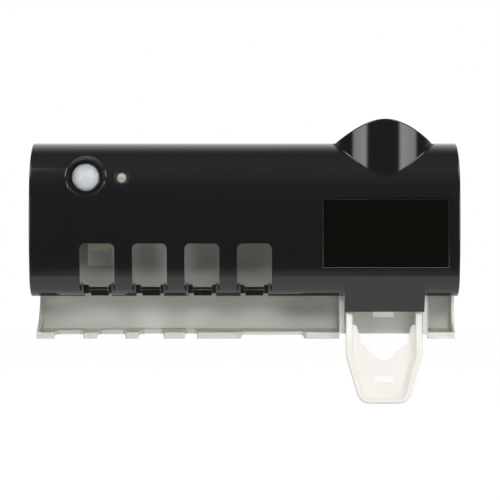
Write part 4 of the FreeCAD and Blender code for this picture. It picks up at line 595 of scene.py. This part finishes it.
def bellows_part(name, profile):
    """A turned part of the bellows."""
    steps = [(radius * MM, bellows_high.y - height * MM) for radius, height in profile]
    shape = turned(steps, [0] * len(steps), pump_line, 1, BELLOWS_SIDES)
    bmesh.ops.remove_doubles(shape, verts=shape.verts, dist=WELD)
    bmesh.ops.recalc_face_normals(shape, faces=shape.faces)
    return solid_mesh(name, shape, silicone_soft)


piece("bellows_flange", bellows_part("bellows_flange", BELLOWS_FLANGE), "cartridge", "silicone", "pump_bellows")
hat = bpy.data.objects.new("bellows_hat", bellows_part("bellows_hat", BELLOWS_HAT))
SCENE.collection.objects.link(hat)
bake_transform(hat)
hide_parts("pump_bellows")
coil = piece("coil_spring", solid_mesh("coil_spring", welded("return_spring"), spring_wire), "cartridge",
             "spring_steel", "return_spring")
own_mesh(coil)

# Push lever: milky polypropylene, moulded as a rim with a thinner web and a notch for the brush's neck.
# It hangs on two steel pins in the cartridge; a brush pushed into the notch swings it back on the plunger.
dress(finish("lever_pp", deep=(238, 234, 228), pale=(242, 238, 233), cloud=0.02, gloss=(0.3, 0.4),
             grain=0.0008, lift=4e-6, Subsurface_Weight=0.35, Subsurface_Radius=(0.004, 0.004, 0.004)),
      "push_lever")


# Studio: a pale floor under the wall unit in a white room, with a card behind the left hanger hole that glows a
# dim beige as painted shade of a wall. Softboxes, panels over them and an overhead sheet show only in the gloss
# and give the cover its bands. Key, top, side and bounce panels and a bay lamp light the matt pieces; the
# camera's side of the room is dim.
WHITE = (1, 1, 1, 1)
FLOOR_Z = -0.25
FLOOR_FRONT_Y = -0.62
FLOOR_FADE_Y = -0.46
FLOOR_FAR = 4.0
FLOOR_COLOUR = (0.45, 0.45, 0.445, 1)
FLOOR_SHOWN = 0.80
FLOOR_MIRRORED = 1.2
DIM_SIDE = 0.14
BACKDROP = 1.5
BACKDROP_FROM = 0.1
BACKDROP_FULL = 0.9
LAMP_DISTANCE = 1.6
BOUNCE_DISTANCE = 0.26
SOFT_EDGE = 0.22
OVERHEAD_EDGE = 0.45
SOFTBOX_INNER = 6.0
SOFTBOX_OUTER = 3.6
UPPER = 5.0
OVERHEAD = 0.22
KEY = 12.4
TOP = 0.9
BOUNCE = 1.35
SIDE_LEFT = 6.0
SIDE_RIGHT = 14.0
BAY_LAMP_AT = (0.128, -0.50, -0.090)
BAY_LAMP_SIZE = 0.08
BAY_RADIANCE = 0.62
BAY_BEAM = math.radians(22)
SENSOR_MM = 36
LENS_MM = 145.29
CAMERA_AT = (0.00375, -1.458, -0.0219)
LEVEL_VIEW = (math.pi / 2, 0, 0)
CARD_SHADED_GLOW = (95, 95, 83)
CARD_X = (-0.1112, -0.0966)
CARD_Z = (-0.0315, -0.0126)
CARD_Y = -0.0002


def lamp_panel(name, azimuth, elevation, distance, width, height, left, right, edge):
    """A lamp panel that faces the unit; azimuth is to the right of the camera's line, seen from the unit.

    left and right are its radiance at its upright sides. A panel with an edge, the share of it that fades
    out, shows in gloss and lights nothing; the others light the unit and don't show in its gloss.
    """
    turn, rise = math.radians(azimuth), math.radians(elevation)
    mirrored = edge is not None
    data = bpy.data.lights.new(name, "AREA")
    data.shape = "RECTANGLE"
    data.size, data.size_y = width, height
    data.energy = math.pi * width * height
    data.use_nodes = True
    tree = data.node_tree
    tree.nodes.clear()
    spot = tree.nodes.new("ShaderNodeNewGeometry").outputs["Parametric"]
    across = add(tree, "ShaderNodeSeparateXYZ", Vector=spot)
    level = add(tree, "ShaderNodeMapRange", Value=across.outputs["X"], To_Min=left, To_Max=right).outputs[0]
    if mirrored:
        for axis in "XY":
            inward = maths(tree, "PINGPONG", across.outputs[axis], 0.5)
            fade = add(tree, "ShaderNodeMapRange", Value=inward, From_Max=edge)
            fade.interpolation_type = "SMOOTHSTEP"
            level = maths(tree, "MULTIPLY", level, fade.outputs[0])
    glow = add(tree, "ShaderNodeEmission", Strength=level)
    add(tree, "ShaderNodeOutputLight", Surface=glow.outputs[0])
    lamp = bpy.data.objects.new(name, data)
    way = Vector((math.sin(turn) * math.cos(rise), -math.cos(turn) * math.cos(rise), math.sin(rise)))
    lamp.location = way * distance
    lamp.rotation_mode = "QUATERNION"
    lamp.rotation_quaternion = way.to_track_quat("Z", "Y")
    lamp.visible_camera = False
    lamp.visible_glossy = mirrored
    lamp.visible_diffuse = not mirrored
    SCENE.collection.objects.link(lamp)
    return lamp


def stage_sheet(name, corners, material):
    """A flat sheet of the studio."""
    mesh = bpy.data.meshes.new(name)
    mesh.from_pydata(corners, [], [range(len(corners))])
    mesh.materials.append(material)
    sheet = bpy.data.objects.new(name, mesh)
    SCENE.collection.objects.link(sheet)


def bare_material(name):
    """A material with an empty tree."""
    made = bpy.data.materials.new(name)
    made.use_nodes = True
    made.node_tree.nodes.clear()
    return made


world = bpy.data.worlds.new("studio")
SCENE.world = world
world.use_nodes = True
tree = world.node_tree
tree.nodes.clear()
way = add(tree, "ShaderNodeSeparateXYZ", Vector=tree.nodes.new("ShaderNodeTexCoord").outputs["Generated"])
ramp = add(tree, "ShaderNodeMapRange", Value=way.outputs["Y"], From_Min=BACKDROP_FROM, From_Max=BACKDROP_FULL,
           To_Min=DIM_SIDE, To_Max=BACKDROP)
ramp.interpolation_type = "SMOOTHSTEP"
path = tree.nodes.new("ShaderNodeLightPath").outputs
seen = maths(tree, "MAXIMUM", path["Is Camera Ray"], path["Is Transmission Ray"])
level = add(tree, "ShaderNodeMix", Factor=seen, A=ramp.outputs[0], B=1.0)
sky = add(tree, "ShaderNodeBackground", Color=WHITE, Strength=level.outputs[0])
add(tree, "ShaderNodeOutputWorld", Surface=sky.outputs[0])

floor_paint = bare_material("floor_paint")
tree = floor_paint.node_tree
path = tree.nodes.new("ShaderNodeLightPath").outputs
matt = add(tree, "ShaderNodeBsdfDiffuse", Color=FLOOR_COLOUR)
lift = add(tree, "ShaderNodeEmission", Color=WHITE,
           Strength=maths(tree, "MULTIPLY", path["Is Camera Ray"], FLOOR_SHOWN))
both = add(tree, "ShaderNodeAddShader", i0=matt.outputs[0], i1=lift.outputs[0])
spot = add(tree, "ShaderNodeSeparateXYZ", Vector=tree.nodes.new("ShaderNodeTexCoord").outputs["Object"])
near = add(tree, "ShaderNodeMapRange", Value=spot.outputs["Y"], From_Min=FLOOR_FRONT_Y, From_Max=FLOOR_FADE_Y,
           To_Min=DIM_SIDE, To_Max=FLOOR_MIRRORED)
near.interpolation_type = "SMOOTHSTEP"
glow = add(tree, "ShaderNodeEmission", Color=WHITE, Strength=near.outputs[0])
shown = add(tree, "ShaderNodeMixShader", i0=path["Is Glossy Ray"], i1=both.outputs[0], i2=glow.outputs[0])
add(tree, "ShaderNodeOutputMaterial", Surface=shown.outputs[0])
stage_sheet("floor", [(x, y, FLOOR_Z) for x, y in (
    (-FLOOR_FAR, FLOOR_FRONT_Y), (FLOOR_FAR, FLOOR_FRONT_Y), (FLOOR_FAR, FLOOR_FAR), (-FLOOR_FAR, FLOOR_FAR))],
            floor_paint)

# The card glows a fixed dim beige: painted shade for the wall behind the hanger hole.
card_shaded_glow = bare_material("card_shaded_glow")
tree = card_shaded_glow.node_tree
behind = tree.nodes.new("ShaderNodeNewGeometry").outputs["Backfacing"]
glow = add(tree, "ShaderNodeEmission", Color=paint(*CARD_SHADED_GLOW), Strength=1.0)
clear = tree.nodes.new("ShaderNodeBsdfTransparent")
both = add(tree, "ShaderNodeMixShader", i0=behind, i1=glow.outputs[0], i2=clear.outputs[0])
add(tree, "ShaderNodeOutputMaterial", Surface=both.outputs[0])
stage_sheet("wall_card", [(CARD_X[0], CARD_Y, CARD_Z[0]), (CARD_X[1], CARD_Y, CARD_Z[0]),
                          (CARD_X[1], CARD_Y, CARD_Z[1]), (CARD_X[0], CARD_Y, CARD_Z[1])], card_shaded_glow)

lamps = {}
for name, azimuth, elevation, distance, width, height, left, right, edge in (
    ("softbox_left", -48.4, 2, LAMP_DISTANCE, 1.2, 0.6, SOFTBOX_OUTER, SOFTBOX_INNER, SOFT_EDGE),
    ("softbox_right", 54.5, 2, LAMP_DISTANCE, 1.36, 0.6, SOFTBOX_INNER, SOFTBOX_OUTER, SOFT_EDGE),
    ("upper_left", -48.4, 45, LAMP_DISTANCE, 1.2, 0.9, UPPER, UPPER, SOFT_EDGE),
    ("upper_right", 54.5, 45, LAMP_DISTANCE, 1.36, 0.9, UPPER, UPPER, SOFT_EDGE),
    ("overhead", 0, 62, LAMP_DISTANCE, 3.4, 3.6, OVERHEAD, OVERHEAD, OVERHEAD_EDGE),
    ("key", 0, 20, LAMP_DISTANCE, 1.0, 0.32, KEY, KEY, None),
    ("top", 0, 48, LAMP_DISTANCE, 1.0, 0.7, TOP, TOP, None),
    ("bounce", 0, -52, BOUNCE_DISTANCE, 0.8, 0.12, BOUNCE, BOUNCE, None),
    ("side_left", -46.5, 0, LAMP_DISTANCE, 0.25, 0.8, SIDE_LEFT, SIDE_LEFT, None),
    ("side_right", 46.5, 0, LAMP_DISTANCE, 0.25, 0.8, SIDE_RIGHT, SIDE_RIGHT, None),
):
    lamps[name] = lamp_panel(name, azimuth, elevation, distance, width, height, left, right, edge)

bay_data = bpy.data.lights.new("bay_lamp", "AREA")
bay_data.size = BAY_LAMP_SIZE
bay_data.spread = BAY_BEAM
bay_data.energy = math.pi * BAY_LAMP_SIZE * BAY_LAMP_SIZE * BAY_RADIANCE
bay_lamp = bpy.data.objects.new("bay_lamp", bay_data)
bay_lamp.location = BAY_LAMP_AT
bay_lamp.rotation_euler = LEVEL_VIEW
bay_lamp.visible_camera = bay_lamp.visible_glossy = False
SCENE.collection.objects.link(bay_lamp)

# The lever, the skirt and the cover shade these nodes more than in the photo, so these lamps reach them alone.
for lamp, names in ((bay_lamp, ("back_plate", "squeezer_body")), (lamps["bounce"], ("back_plate",))):
    lit = bpy.data.collections.new("lit_by_" + lamp.name)
    for name in names:
        lit.objects.link(NODES[name])
    lamp.light_linking.receiver_collection = lit

camera_data = bpy.data.cameras.new("camera")
camera_data.sensor_width = SENSOR_MM
camera_data.lens = LENS_MM
camera = bpy.data.objects.new("camera", camera_data)
camera.location = CAMERA_AT
camera.rotation_euler = LEVEL_VIEW
SCENE.collection.objects.link(camera)
SCENE.camera = camera
SCENE.view_settings.view_transform = "Standard"
